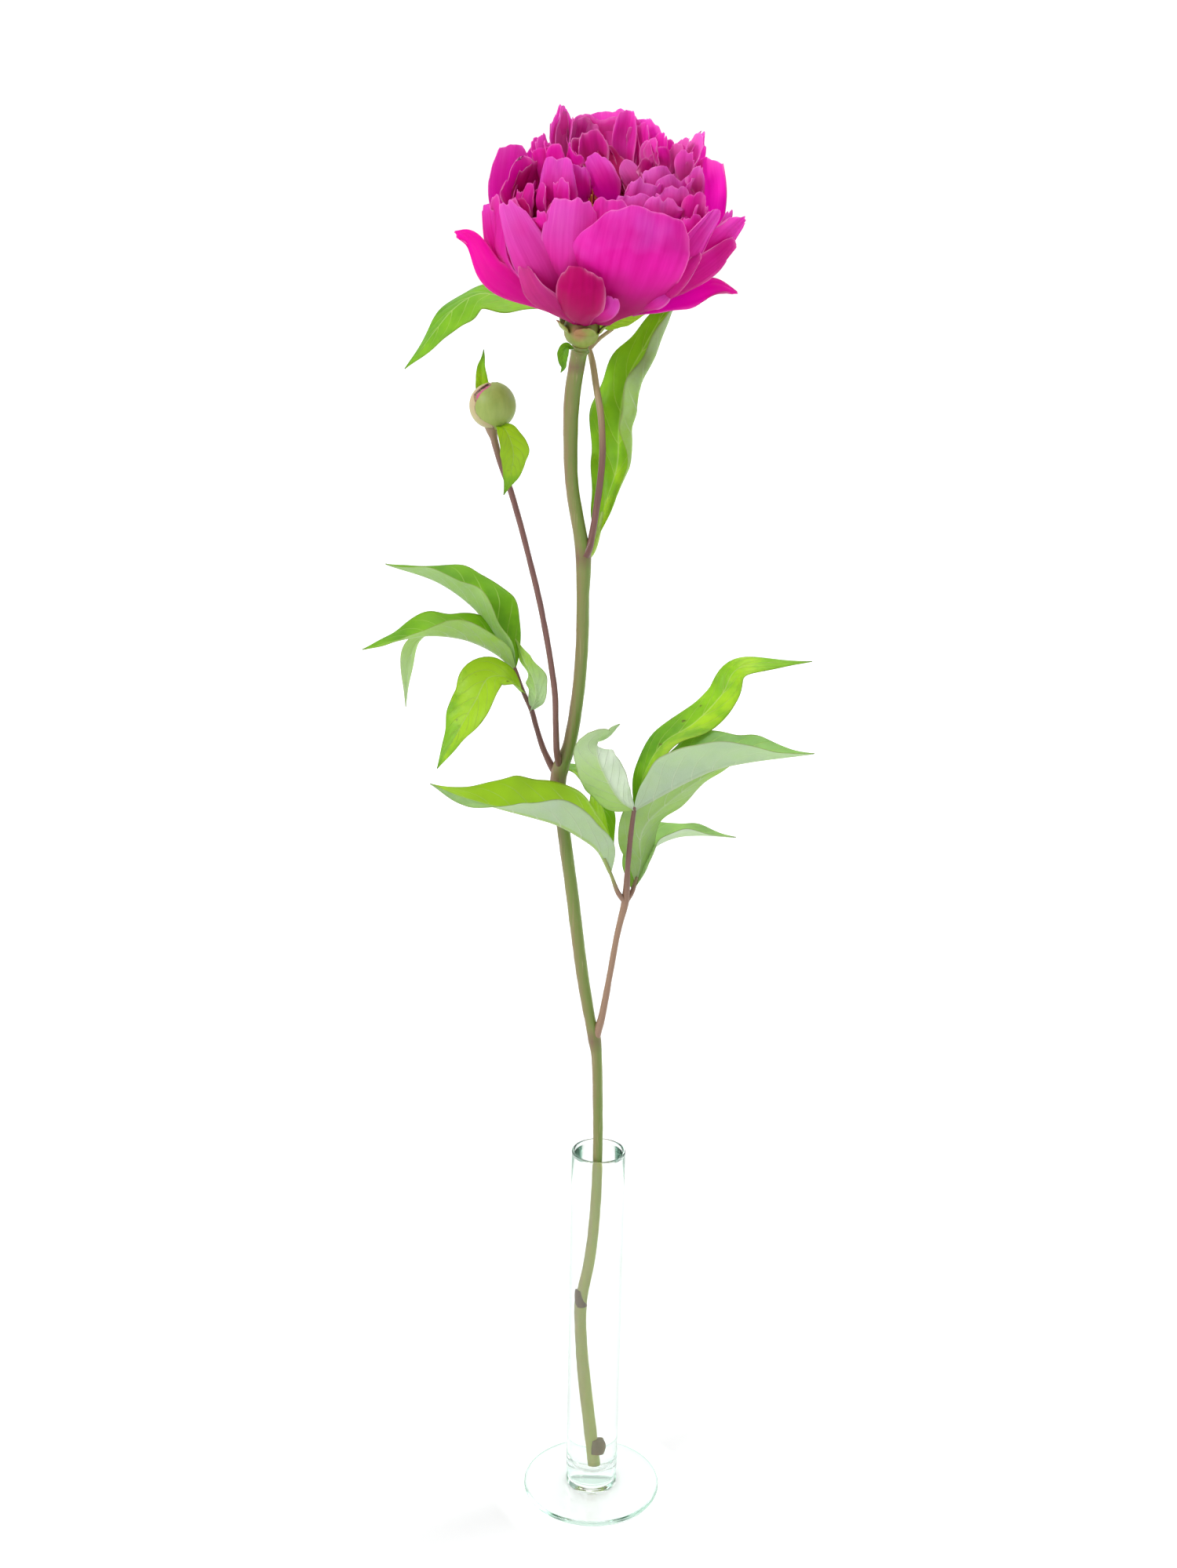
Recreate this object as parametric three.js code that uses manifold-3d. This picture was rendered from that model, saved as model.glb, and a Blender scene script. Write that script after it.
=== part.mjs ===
// A magenta peony with its side bud and leaves, standing in a clear glass bud vase.
// Millimetres, +Z up, origin at the centre of the vase's underside. The flower looks towards -Y.
import * as THREE from 'three';
import { mergeVertices } from 'three/addons/utils/BufferGeometryUtils.js';
import Module from 'manifold-3d';

const wasm = await Module();
wasm.setup();

// Driving dimensions of the vase
const VASE_HEIGHT = 200;
const TUBE_RADIUS = 13.8;
const TUBE_WALL = 1.4;
const TUBE_BOTTOM = 8;
const BOWL_FLOOR = 12;
const FOOT_RADIUS = 36.4;
const FOOT_EDGE = 3;
const WATER_LEVEL = 197;
const VASE_SIDES = 32;
const BOWL_PARTS = 5;

// The free space that pieces keep from what they sit on
const SEAT_GAP = 0.3;

// Driving dimensions of the flower head, in its own frame: z along its axis, -y its front
const HEAD_BASE = [-15.8, -11.5, 613.6];
const HEAD_NOD = 17;
const HEAD_LEAN = 4;
const KNOB_RADIUS = 7.6;
const KNOB_HEIGHT = 10;
const CORE_RADIUS = 17;
const CORE_HEIGHT = 34;
const PETAL_THICKNESS = 0.8;

// Driving dimensions of the bud and the leaves
const BUD_CENTRE = [-55.9, -12, 576.5];
const BUD_RADIUS = 10.2;
const LEAF_THICKNESS = 0.7;

const vector = ([x, y, z]) => new THREE.Vector3(x, y, z);
const radians = THREE.MathUtils.degToRad;

// The value at t (0 to 1) of a list of numbers spread evenly along a blade
function along(list, t) {
  const place = t * (list.length - 1);
  const before = Math.min(Math.floor(place), list.length - 2);
  return THREE.MathUtils.lerp(list[before], list[before + 1], place - before);
}

function toSolid(geometry) {
  const bare = geometry.index ? geometry : geometry.clone();
  bare.deleteAttribute('normal');
  bare.deleteAttribute('uv');
  const welded = mergeVertices(bare, 1e-4);
  return new wasm.Manifold(new wasm.Mesh({
    numProp: 3,
    vertProperties: new Float32Array(welded.attributes.position.array),
    triVerts: new Uint32Array(welded.index.array),
  }));
}

function fuse(solids) {
  return solids.reduce((whole, solid) => whole.add(solid));
}

// The outer skin of the largest body: hollows sealed inside it are filled, loose scraps are dropped
function largest(solid) {
  return solid.decompose().sort((a, b) => b.volume() - a.volume())[0];
}

const peony = new THREE.Group();

function addMesh(name, solid, material, home = peony) {
  const faces = solid.getMesh();
  const geometry = new THREE.BufferGeometry();
  geometry.setAttribute('position', new THREE.BufferAttribute(new Float32Array(faces.vertProperties), 3));
  geometry.setIndex(new THREE.BufferAttribute(new Uint32Array(faces.triVerts), 1));
  const mesh = new THREE.Mesh(geometry, material);
  mesh.name = name;
  home.add(mesh);
}

const finish = (color, roughness, more = {}) =>
  new THREE.MeshStandardMaterial({ color, roughness, metalness: 0, ...more });

const GLASS = finish('#dcefe4', 0.04, { transparent: true, opacity: 0.35 });
const WATER = finish('#eef6f4', 0.02, { transparent: true, opacity: 0.3 });
const STEM_GREEN = finish('#879650', 0.5);
const SIDE_STEM = finish('#7b5250', 0.5);
const LEAF_GREEN = finish('#5f9a1c', 0.45);
const BUD_GREEN = finish('#9aa85c', 0.5);
const CALYX_GREEN = finish('#8a9a4a', 0.55);
const PETAL_MAGENTA = finish('#d41d9c', 0.55);
const STAMEN_YELLOW = finish('#e2b23c', 0.6);

// A round stalk along a smooth curve. Each point of its route is [x, y, z, radius].
function stalk(route, { sides = 8, step = 9, grown = 0 } = {}) {
  const curve = new THREE.CatmullRomCurve3(route.map(vector), false, 'centripetal');
  const steps = Math.max(3, Math.round(curve.getLength() / step));
  const frames = curve.computeFrenetFrames(steps);
  const tube = new THREE.CylinderGeometry(1, 1, 1, sides, steps);
  const spots = tube.attributes.position;
  for (let i = 0; i < spots.count; i++) {
    const ring = Math.round((spots.getY(i) + 0.5) * steps);
    const reach = ring / steps;
    const radius = along(route.map((point) => point[3]), curve.getUtoTmapping(reach)) + grown;
    const spot = curve.getPointAt(reach)
      .addScaledVector(frames.binormals[ring], spots.getX(i) * radius)
      .addScaledVector(frames.normals[ring], spots.getZ(i) * radius)
      .addScaledVector(frames.tangents[ring], grown * (2 * reach - 1));
    spots.setXYZ(i, spot.x, spot.y, spot.z);
  }
  return toSolid(tube);
}

// A thin closed blade. place(s, t) gives its middle surface, s across from -1 to 1 and t from root
// to tip. Both faces are split into triangles alike, so the waves never make them cross.
function blade(across, lengthwise, thickness, place) {
  const sheet = new THREE.PlaneGeometry(2, 1, across, lengthwise);
  const spots = sheet.attributes.position;
  for (let i = 0; i < spots.count; i++) {
    const spot = place(spots.getX(i), spots.getY(i) + 0.5);
    spots.setXYZ(i, spot.x, spot.y, spot.z);
  }
  sheet.computeVertexNormals();
  const normals = sheet.attributes.normal;
  const count = spots.count;
  const both = new Float32Array(count * 6);
  for (let i = 0; i < count; i++) {
    for (const [layer, shift] of [[0, thickness / 2], [1, -thickness / 2]]) {
      const start = (layer * count + i) * 3;
      both[start] = spots.getX(i) + normals.getX(i) * shift;
      both[start + 1] = spots.getY(i) + normals.getY(i) * shift;
      both[start + 2] = spots.getZ(i) + normals.getZ(i) * shift;
    }
  }
  const faces = [];
  const grid = sheet.index.array;
  for (let i = 0; i < grid.length; i += 3) {
    const [a, b, c] = [grid[i], grid[i + 1], grid[i + 2]];
    faces.push(a, b, c, a + count, c + count, b + count);
  }
  const row = across + 1;
  const rim = [];
  for (let i = 0; i < across; i++) rim.push(lengthwise * row + i);
  for (let j = lengthwise; j > 0; j--) rim.push(j * row + across);
  for (let i = across; i > 0; i--) rim.push(i);
  for (let j = 0; j < lengthwise; j++) rim.push(j * row);
  rim.forEach((here, i) => {
    const next = rim[(i + 1) % rim.length];
    faces.push(next, here, here + count, next, here + count, next + count);
  });
  const closed = new THREE.BufferGeometry();
  closed.setAttribute('position', new THREE.BufferAttribute(both, 3));
  closed.setIndex(faces);
  return toSolid(closed);
}

// A pointed leaflet on its midrib. "faces" is where its upper side looks at the root and at the tip.
// Each half has a greatest width and its lift out of the flat, in degrees, from root to tip.
function leaflet({ rib, faces, left, right, waves = 3, wave = 1.2, blunt = 1.15, rows = 9 }) {
  const curve = new THREE.CatmullRomCurve3(rib.map(vector), false, 'centripetal');
  const upper = [vector(faces[0]), vector(faces[faces.length - 1])];
  return blade(4, rows, LEAF_THICKNESS, (s, t) => {
    const ahead = curve.getTangentAt(t);
    const facing = upper[0].clone().lerp(upper[1], t);
    const sideways = new THREE.Vector3().crossVectors(ahead, facing).normalize();
    const normal = new THREE.Vector3().crossVectors(sideways, ahead);
    const half = s < 0 ? left : right;
    const outline = Math.sin(Math.PI * Math.min(t, 0.999) ** 0.8) ** blunt;
    const width = Math.abs(s) * (half.width * outline + 0.5);
    const lift = radians(along(half.lift, t));
    const ripple = wave * outline * s * s * Math.sin(Math.PI * waves * 2 * t + (s < 0 ? 0 : 2));
    return curve.getPointAt(t)
      .addScaledVector(sideways, Math.sign(s) * width * Math.cos(lift))
      .addScaledVector(normal, width * Math.sin(lift) + ripple);
  });
}

// Vase: a straight glass tube with a round, thick bottom, drawn into a flat round foot
const innerRadius = TUBE_RADIUS - TUBE_WALL;
const bowlCentre = BOWL_FLOOR + innerRadius;

function bowl(radius, centre, parts) {
  const points = [];
  for (let i = 0; i <= parts; i++) {
    const turn = (Math.PI / 2) * (i / parts);
    points.push([radius * Math.cos(turn), centre - radius * Math.sin(turn)]);
  }
  return points;
}

function turned(outline, sides = VASE_SIDES) {
  const points = outline.map(([r, z]) => new THREE.Vector2(Math.max(r, 0), z));
  return toSolid(new THREE.LatheGeometry(points, sides).rotateX(Math.PI / 2));
}

function vase() {
  const outside = [
    [0, 0],
    [FOOT_RADIUS - 0.8, 0],
    [FOOT_RADIUS, 0.9],
    [FOOT_RADIUS, FOOT_EDGE - 0.9],
    [FOOT_RADIUS - 0.9, FOOT_EDGE],
    [FOOT_RADIUS * 0.62, FOOT_EDGE + 0.8],
    [TUBE_RADIUS + 1.6, FOOT_EDGE + 2.2],
    [TUBE_RADIUS - 1.4, TUBE_BOTTOM],
    [TUBE_RADIUS - 0.2, TUBE_BOTTOM + 3],
    [TUBE_RADIUS, TUBE_BOTTOM + 8],
    [TUBE_RADIUS, VASE_HEIGHT - 0.6],
    [TUBE_RADIUS - TUBE_WALL / 2, VASE_HEIGHT],
    [innerRadius, VASE_HEIGHT - 0.6],
  ];
  return turned([...outside, ...bowl(innerRadius, bowlCentre, BOWL_PARTS)]);
}

// Flower head frame: it nods towards the front and leans a little to the right
const head = new THREE.Group();
head.position.set(...HEAD_BASE);
head.rotation.set(radians(HEAD_NOD), radians(HEAD_LEAN), 0, 'YXZ');
head.updateMatrix();

const inHead = (r, z) => new THREE.Vector3(r, 0, z).applyMatrix4(head.matrix).toArray();

// Main stem: cut at its foot, kinked at each node, thickest under the flower, which it meets squarely
const STEM_ROUTE = [
  [1, 1, 13.7, 2.2], [-1.2, 0.3, 42, 2.35], [-3.7, -1, 70, 2.5], [-5.75, -2.6, 98, 2.55],
  [-6.1, -3, 113, 2.75],
  [-5.2, -3.4, 122, 2.4], [-3, -4.5, 139, 2.3], [-1.4, -6, 161, 2.3], [-0.55, -9, 194, 2.35],
  [-0.9, -11, 226, 2.5], [-2.2, -12, 258, 2.6], [-3.4, -12, 267, 3.3], [-5.8, -12, 277.5, 2.7],
  [-10.2, -11, 302, 3], [-16.3, -9, 346, 3.1], [-20.6, -8, 375, 3.1], [-23.6, -8, 399, 3.9],
  [-22.4, -8, 406, 4], [-18.6, -8, 417, 3.2], [-14.6, -8, 444, 3], [-13.2, -9, 470, 3],
  [-13.3, -10, 490, 3],
  [-13.4, -10, 508, 3.7], [-15.2, -9, 519, 3.1], [-19.2, -7.4, 540.5, 3], [-20.3, -5.6, 561.6, 3.3],
  [-20, -4.8, 579, 3.6], [...inHead(-0.8, -KNOB_HEIGHT - 9), 3.7],
  [...inHead(0, -KNOB_HEIGHT - 2 * SEAT_GAP), 3.8],
];
const STUB_ROUTE = [[-5.8, -2.8, 113, 1.95], [-6.95, -3, 118, 1.7], [-7.4, -3, 122, 1.2]];
const CUT_KNOB = [[1.9, 0.6, 22, 2.1], [2.2, 0.9, 26.5, 2.6], [1.8, 0.6, 31, 1.95]];

// A small curled bract near the top of the stem
const STEM_BRACT = {
  rib: [
    [-17.6, -9, 597], [-21.4, -12, 601.4], [-25, -14.5, 600.6], [-26, -15.5, 596.5],
    [-24.9, -15.5, 592],
  ],
  faces: [[0.3, 0.4, 0.8], [0.9, 0.4, 0.2]],
  left: { width: 2.6, lift: [20, 20] },
  right: { width: 2.6, lift: [20, 20] },
  rows: 6,
  wave: 0,
};

function mainStem(grown = 0) {
  const routes = [STEM_ROUTE, STUB_ROUTE, CUT_KNOB];
  const round = routes.map((route) => stalk(route, { sides: 8, grown, step: 8 }));
  return largest(fuse(grown ? round : [...round, leaflet(STEM_BRACT)]));
}

// Water: fills the tube to just under its rim, with a plain hole where the stem stands
function water() {
  const filled = bowl(innerRadius - SEAT_GAP, bowlCentre, BOWL_PARTS);
  const body = turned([[0, WATER_LEVEL], [innerRadius - SEAT_GAP, WATER_LEVEL], ...filled].reverse());
  return largest(body.subtract(mainStem(SEAT_GAP)));
}

// Left leaf: three-parted, its purple-brown stalk springing from the middle node
const LEFT_STALK = [
  [-23.5, -6.4, 400.6, 2], [-27.2, -6, 406.8, 1.7], [-30.8, -6, 414.4, 1.4], [-34.6, -5, 425.8, 1.3],
  [-36.9, -4, 433.6, 1.3], [-40.8, -3, 441.7, 1.1], [-44.3, -1, 450.4, 1], [-46.3, 0, 456, 0.8],
];
const LEFT_LEAFLETS = [
  {
    rib: [
      [-45, -0.4, 452.5], [-52, 2, 464], [-59, 5, 473.6], [-66.6, 8, 481.5], [-82.6, 12, 491.4],
      [-108, 17, 498.4],
    ],
    faces: [[0, 0, 1], [0, 0, 1]],
    left: { width: 11, lift: [70, 64, 60, 50, 30] },
    right: { width: 18, lift: [50, 46, 40, 25, 10] },
  },
  {
    rib: [
      [-45, -1, 452.5], [-53, -3, 460], [-62.4, -5, 465.4], [-72, -7, 468.6], [-88, -9, 469.5],
      [-116, -13, 463],
    ],
    faces: [[0, 0, 1], [0, 0, 1]],
    left: { width: 11, lift: [60, 58, 48, 10, -8] },
    right: { width: 15, lift: [45, 45, 40, 30, 20] },
  },
  {
    rib: [
      [-45.6, 0.6, 453], [-55, 8, 462], [-71, 14, 466.5], [-86, 16, 466], [-94, 17, 460], [-98, 18, 446],
      [-99, 18, 428],
    ],
    faces: [[0, 0, 1], [-0.8, 0.6, 0.1]],
    left: { width: 8, lift: [20, 20, 15, 10, 10] },
    right: { width: 8, lift: [20, 20, 15, 10, 10] },
  },
  {
    rib: [
      [-40, -3, 441], [-49, -9, 450], [-57, -14, 450.5], [-62.2, -20, 441.6], [-67.4, -24, 432.7],
      [-79.8, -30, 410.5],
    ],
    faces: [[0, -0.4, 1], [-0.5, -0.8, 0.4]],
    left: { width: 11, lift: [20, 18, 12, 8, 5] },
    right: { width: 12, lift: [25, 20, 12, 8, 5] },
  },
  {
    rib: [[-37, -4.4, 433], [-34.3, -8, 441.6], [-35.9, -6, 449.4], [-40.7, 0, 457], [-45, 4, 466]],
    faces: [[0.3, 0.9, 0.3], [0.5, 0.8, 0.3]],
    left: { width: 5.5, lift: [10, 15, 10] },
    right: { width: 5.5, lift: [10, 15, 10] },
    rows: 7,
  },
];

// Right leaf: its stalk springs from the lower node and forks in three below five leaflets
const RIGHT_STALKS = [
  [
    [-3.4, -12, 267, 2.6], [-0.4, -14, 278.5, 1.8], [3, -15, 300, 1.5], [6.6, -16, 325, 1.5],
    [10, -17, 342.4, 1.9],
    [10.7, -18, 359.6, 1.3], [12.1, -18, 380, 1.2], [13.3, -18, 390.4, 1.1],
  ],
  [[10, -17, 341.6, 1.4], [6.5, -19, 346.7, 1.2], [3.2, -21, 355.7, 0.9], [-0.7, -22, 365.5, 0.8]],
  [[10, -17, 341.6, 1.4], [13, -15, 345.8, 1.2], [15.5, -13, 353.2, 1]],
];
const RIGHT_LEAFLETS = [
  {
    rib: [
      [2.4, -21.2, 358], [-3.8, -23, 370], [-12.2, -25, 377], [-23.4, -28, 384], [-36.3, -31, 388.7],
      [-47.6, -34, 392.5], [-69.3, -38, 400], [-82.2, -41, 406.4],
    ],
    faces: [[0, 0, 1], [0, 0, 1]],
    left: { width: 15, lift: [75, 66, 55, 40, -20, -40] },
    right: { width: 22, lift: [50, 50, 46, 44, 25, 10] },
    rows: 12,
  },
  {
    rib: [
      [12.6, -18.6, 389], [6.1, -23, 395], [-0.5, -26, 406.4], [-4.8, -26, 416.3], [-5.4, -22, 423],
      [-1, -16, 424],
      [5.4, -11, 429],
    ],
    faces: [[-0.2, 0.95, 0.25], [-0.2, 0.6, 0.7]],
    left: { width: 9, lift: [15, 15, 10, 5] },
    right: { width: 12, lift: [15, 15, 10, 5] },
    blunt: 0.9,
  },
  {
    rib: [
      [13.3, -17.6, 389], [17.8, -14, 406], [26.2, -10, 419.5], [41, -4, 428.3], [54, 2, 441],
      [61.4, 6, 453],
      [97.6, 12, 456],
    ],
    faces: [[-0.5, -0.4, 0.8], [0, -0.3, 1]],
    left: { width: 10, lift: [15, 10, 5, 5, 0] },
    right: { width: 11, lift: [15, 10, 0, -10, -20] },
    rows: 11,
  },
  {
    rib: [
      [13.3, -18.6, 389.4], [24.2, -22, 397], [38, -25, 406], [51.5, -27, 412.8], [65.3, -28, 416.4],
      [96.2, -28, 421],
    ],
    faces: [[0, 0, 1], [0, 0, 1]],
    left: { width: 22, lift: [50, 48, 42, 35, 15] },
    right: { width: 20, lift: [70, 64, 56, 40, 20] },
    rows: 11,
  },
  {
    rib: [
      [15, -13.4, 351], [16.8, -12, 361.7], [16.2, -11, 371.7], [19.4, -10, 380], [28.6, -8, 389],
      [42, -5, 399],
      [67, 0, 413],
    ],
    faces: [[-0.4, 0.8, 0.4], [-0.2, 0.8, 0.5]],
    left: { width: 12, lift: [10, 15, 15, 10] },
    right: { width: 13, lift: [10, 15, 15, 10] },
  },
  {
    rib: [
      [13.6, -14.4, 347], [16.7, -6, 356], [23.6, 2, 363.6], [34, 6, 367.8], [45.7, 8, 368.6],
      [64.4, 10, 367],
    ],
    faces: [[0, 0, 1], [0, 0, 1]],
    left: { width: 9, lift: [25, 25, 20, 10] },
    right: { width: 9, lift: [25, 25, 20, 10] },
    rows: 8,
  },
];

// Narrow leaf that hangs from the middle node, behind the right leaf
const NODE_LEAFLETS = [
  {
    rib: [[-21, -7.6, 406.5], [-15, -2, 402], [-8, 2, 394], [-1.8, 4, 382.6], [1.5, 4, 369.8], [4, 3, 358]],
    faces: [[0.2, -0.3, 1], [0.5, -0.8, 0.4]],
    left: { width: 7, lift: [15, 10, 5] },
    right: { width: 7, lift: [15, 10, 5] },
    rows: 8,
  },
];

// Upper right leaf: one broad leaf from the upper node, its outer margin folded over
const UPPER_RIGHT_STALK = [
  [-12.6, -7.6, 507, 2], [-9.4, -6.4, 510.6, 1.6], [-6.9, -5.4, 518, 1.2], [-4.9, -2.6, 528, 0.9],
];
const UPPER_RIGHT_LEAFLETS = [
  {
    rib: [
      [-7.2, -5.6, 517], [-4.9, -2.6, 528], [1.5, 3, 549], [2, 7, 567], [5, 9, 587], [13, 10.6, 603],
      [24.6, 12, 620],
    ],
    faces: [[-0.35, -0.9, 0.2], [-0.5, -0.8, 0.3]],
    left: { width: 13.5, lift: [10, 10, 10, 5] },
    right: { width: 13, lift: [20, 55, 70, 60, 15] },
    rows: 11,
  },
];

// Back leaf: a thin purple side stem from the upper node, forking behind the flower
const BACK_STALKS = [
  [
    [-12.8, -11.6, 508.6, 1.6], [-10.6, -11, 513.4, 1.3], [-9.7, -10.4, 517.6, 1.1], [-7.6, -9.4, 532, 1.1],
    [-5.6, -8.6, 553, 1.1], [-6.3, -6, 570, 1.1], [-8.8, -1.6, 584, 1.1], [-12.2, 3.6, 600, 1],
    [-17.4, 10, 609.4, 1],
    [-25, 18, 616, 0.9], [-33, 22, 620, 0.8],
  ],
  [[-12.6, 4.2, 601, 0.9], [-8.4, 5.6, 605.6, 0.9], [-2, 5, 610.5, 0.8]],
];
const BACK_LEAFLETS = [
  {
    rib: [
      [-30, 22, 618.8], [-47.9, 24, 622], [-64.3, 24, 624], [-75, 22, 617.8], [-83.5, 19, 608],
      [-91, 17, 598],
      [-98, 16, 590],
    ],
    faces: [[0, -0.5, 0.85], [-0.3, -0.6, 0.7]],
    left: { width: 14, lift: [10, 5, 0, 0] },
    right: { width: 11, lift: [-10, -15, -20, -10] },
    rows: 10,
  },
  {
    rib: [[-5, 5.4, 608.4], [3, 4, 612], [11.6, 4, 613.6], [20, 6, 616]],
    faces: [[0, -0.3, -1], [0, -0.3, -1]],
    left: { width: 5, lift: [5, 5] },
    right: { width: 5, lift: [5, 5] },
    rows: 5,
    wave: 0.5,
  },
];

function leafOn(stalks, leaflets) {
  const pieces = [
    ...stalks.map((route) => stalk(route, { sides: 6, step: 9 })),
    ...leaflets.map(leaflet),
  ];
  return largest(fuse(pieces).subtract(mainStem(SEAT_GAP)));
}

// Side bud: a round bud in overlapping sepals, with two leafy bracts, on its own thin stem
const BUD_STALK = [
  [-22.6, -9.4, 406.5, 1.5], [-24.2, -12.4, 414, 1.3], [-25, -13.6, 430, 1.2], [-25.6, -14, 444, 1.2],
  [-32, -15, 482, 1.15], [-37.7, -15, 505.6, 1.15], [-46.3, -13, 535.8, 1.15], [-51.9, -12, 551, 1.2],
  [-55, -12, 562, 1.4], [-55.7, -12, 565.2, 2.3], [-55.9, -12, 567.4, 3],
];
const BUD_BRACTS = [
  {
    rib: [[-60.4, -9.6, 583], [-63.4, -8, 588.4], [-62.4, -7, 594], [-60.2, -7, 600.4]],
    faces: [[-0.9, 0.3, 0.2], [-0.8, 0.4, 0.2]],
    left: { width: 4, lift: [5, 5] },
    right: { width: 4, lift: [5, 5] },
    rows: 5,
    wave: 0.3,
  },
  {
    rib: [
      [-53.4, -15.8, 568], [-49.5, -19.5, 566.6], [-45.8, -22, 557], [-47.2, -21, 546],
      [-50, -20, 537.4],
    ],
    faces: [[0, -0.4, 1], [0.7, -0.7, 0.1]],
    left: { width: 7, lift: [10, 10] },
    right: { width: 7, lift: [10, 10] },
    rows: 7,
    wave: 0.6,
  },
];

// The bud's sepals overlap: each covers the ones before it with a rounded edge that stands proud
const BUD_SEPALS = [
  { turn: 80, top: 24 },
  { turn: 200, top: 34 },
  { turn: -40, top: 48 },
  { turn: 20, top: 70 },
];

function sepalRelief(direction) {
  let height = 0;
  BUD_SEPALS.forEach(({ turn, top }, i) => {
    const middle = new THREE.Vector3().setFromSphericalCoords(1, radians(top + 62), radians(turn));
    if (direction.angleTo(middle) < radians(58)) height = 0.45 * (i + 1);
  });
  return height;
}

function sideBud() {
  const ball = new THREE.SphereGeometry(1, 26, 16);
  const spots = ball.attributes.position;
  for (let i = 0; i < spots.count; i++) {
    const direction = new THREE.Vector3().fromBufferAttribute(spots, i);
    const spot = direction.clone().multiplyScalar(BUD_RADIUS - 1 + sepalRelief(direction));
    spots.setXYZ(i, spot.x, spot.y, spot.z);
  }
  const round = toSolid(ball.rotateX(Math.PI / 2)).translate(BUD_CENTRE);
  return largest(fuse([round, ...BUD_BRACTS.map(leaflet)]));
}

function budStem() {
  const stem = stalk(BUD_STALK, { sides: 8, step: 9 });
  const bud = toSolid(new THREE.SphereGeometry(BUD_RADIUS + LEAF_THICKNESS + SEAT_GAP + 1, 20, 12));
  const clear = stem.subtract(bud.translate(BUD_CENTRE)).subtract(mainStem(SEAT_GAP));
  return largest(clear);
}

// Calyx: the green knob under the petals with its cupped sepals
function calyx() {
  const knob = turned([
    [0, -KNOB_HEIGHT], [3.4, -KNOB_HEIGHT], [6, -KNOB_HEIGHT + 1.6], [KNOB_RADIUS, -KNOB_HEIGHT / 2],
    [KNOB_RADIUS - 0.8, -1.6], [4.6, -0.1], [0, -0.1],
  ], 14);
  const sepals = [-62, 10, 82, 154, 226].map((turn, i) => petal({
    turn, root: [5, -3], belly: [10, -2.6], tip: [14 + 2 * (i % 2), 1.4], width: 5.5, rows: 3, across: 2,
  }));
  return largest(fuse([knob, ...sepals]));
}

// A cupped petal. Its middle line runs in the plane at the given turn round the axis, 0 at the front,
// through [distance from the axis, height] at its root, belly and tip. "notch" cuts its top edge.
function petal({
  turn, root, belly, tip, width, cup = 1, notch = 0.02, ruffle = 0.5, rows = 5, across = 4, roll = 0,
}) {
  const line = new THREE.CatmullRomCurve3(
    [root, ...(Array.isArray(belly[0]) ? belly : [belly]), tip].map(([r, z]) => new THREE.Vector3(r, 0, z)),
  );
  const hug = Math.max(...line.getPoints(6).map((point) => point.x)) / cup;
  const spin = radians(turn);
  return blade(across, rows, PETAL_THICKNESS, (column, t) => {
    const s = Math.sin((column * Math.PI) / 2);
    const top = 0.68 + 0.32 * Math.cos((column * Math.PI) / 2) - notch * (1 - s * s) ** 3;
    const spot = line.getPointAt(t * top);
    const reach = width * (0.1 + 0.9 * Math.sin(Math.PI * 0.68 * t) ** 1.2);
    const bend = (s * reach) / hug;
    const ripple = ruffle * t * s * s * Math.sin(7 * t + 3 * s + spin * 5);
    const out = spot.x - hug * (1 - Math.cos(bend)) + ripple;
    const sideways = hug * Math.sin(bend);
    const height = spot.z + roll * s * t;
    return new THREE.Vector3(
      out * Math.sin(spin) + sideways * Math.cos(spin),
      -out * Math.cos(spin) + sideways * Math.sin(spin),
      height,
    );
  });
}

// Outer petals, each placed as it grew: broad cupped ones first, then those that spread outwards, the
// small ones underneath, and last the narrow ones that stand up behind the middle
const GUARD_PETALS = [
  { turn: 30, belly: [[30, 14], [51, 39]], tip: [48, 71], width: 27 },
  { turn: -12, belly: [[29, 14], [48, 42]], tip: [45, 74], width: 17 },
  { turn: -56, belly: [[30, 10], [49, 31]], tip: [51, 56], width: 17 },
  { turn: -108, belly: [[29, 8], [48, 34]], tip: [46, 67], width: 25 },
  { turn: -148, belly: [[28, 9], [45, 42]], tip: [40, 78], width: 22 },
  { turn: 180, belly: [[26, 10], [41, 46]], tip: [35, 87], width: 22 },
  { turn: 150, belly: [[28, 9], [47, 44]], tip: [42, 79], width: 21 },
  { turn: 120, belly: [[32, 9], [60, 36]], tip: [60, 70], width: 27 },
  { turn: 72, belly: [[33, 14], [55, 40]], tip: [70, 61], width: 12, cup: 0.7, roll: 7 },
  { turn: -76, belly: [[30, 14], [49, 30]], tip: [62, 44], width: 14, cup: 0.7, roll: -9 },
  { turn: 80, belly: [[34, 15], [55, 26]], tip: [69, 28], width: 11, cup: 0.6, roll: 5 },
  { turn: 52, belly: [[32, 9], [53, 25]], tip: [60, 46], width: 11 },
  { turn: -38, belly: [[26, 7.5], [46, 19]], tip: [50, 35], width: 11 },
  { turn: -8, belly: [[26, 8.5], [45, 20]], tip: [50, 41], width: 13 },
  { turn: -152, belly: [[20, 40], [32, 66]], tip: [35, 88], width: 8, across: 2 },
  { turn: 118, belly: [[26, 40], [46, 60]], tip: [52, 82], width: 9, across: 2 },
];

// Inner petals in rings: how many, where they grow, how far out their tips stand, how high and how wide
const INNER_RINGS = [
  { count: 8, start: 10, root: 18, belly: [36, 36], tip: [33, 74], width: 12.5, drift: 3.5 },
  { count: 7, start: 34, root: 24, belly: [26, 42], tip: [24, 75], width: 8.8, drift: 3.5 },
  { count: 4, start: 60, root: 30, belly: [15, 46], tip: [15, 64], width: 7, drift: 3 },
];

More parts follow.
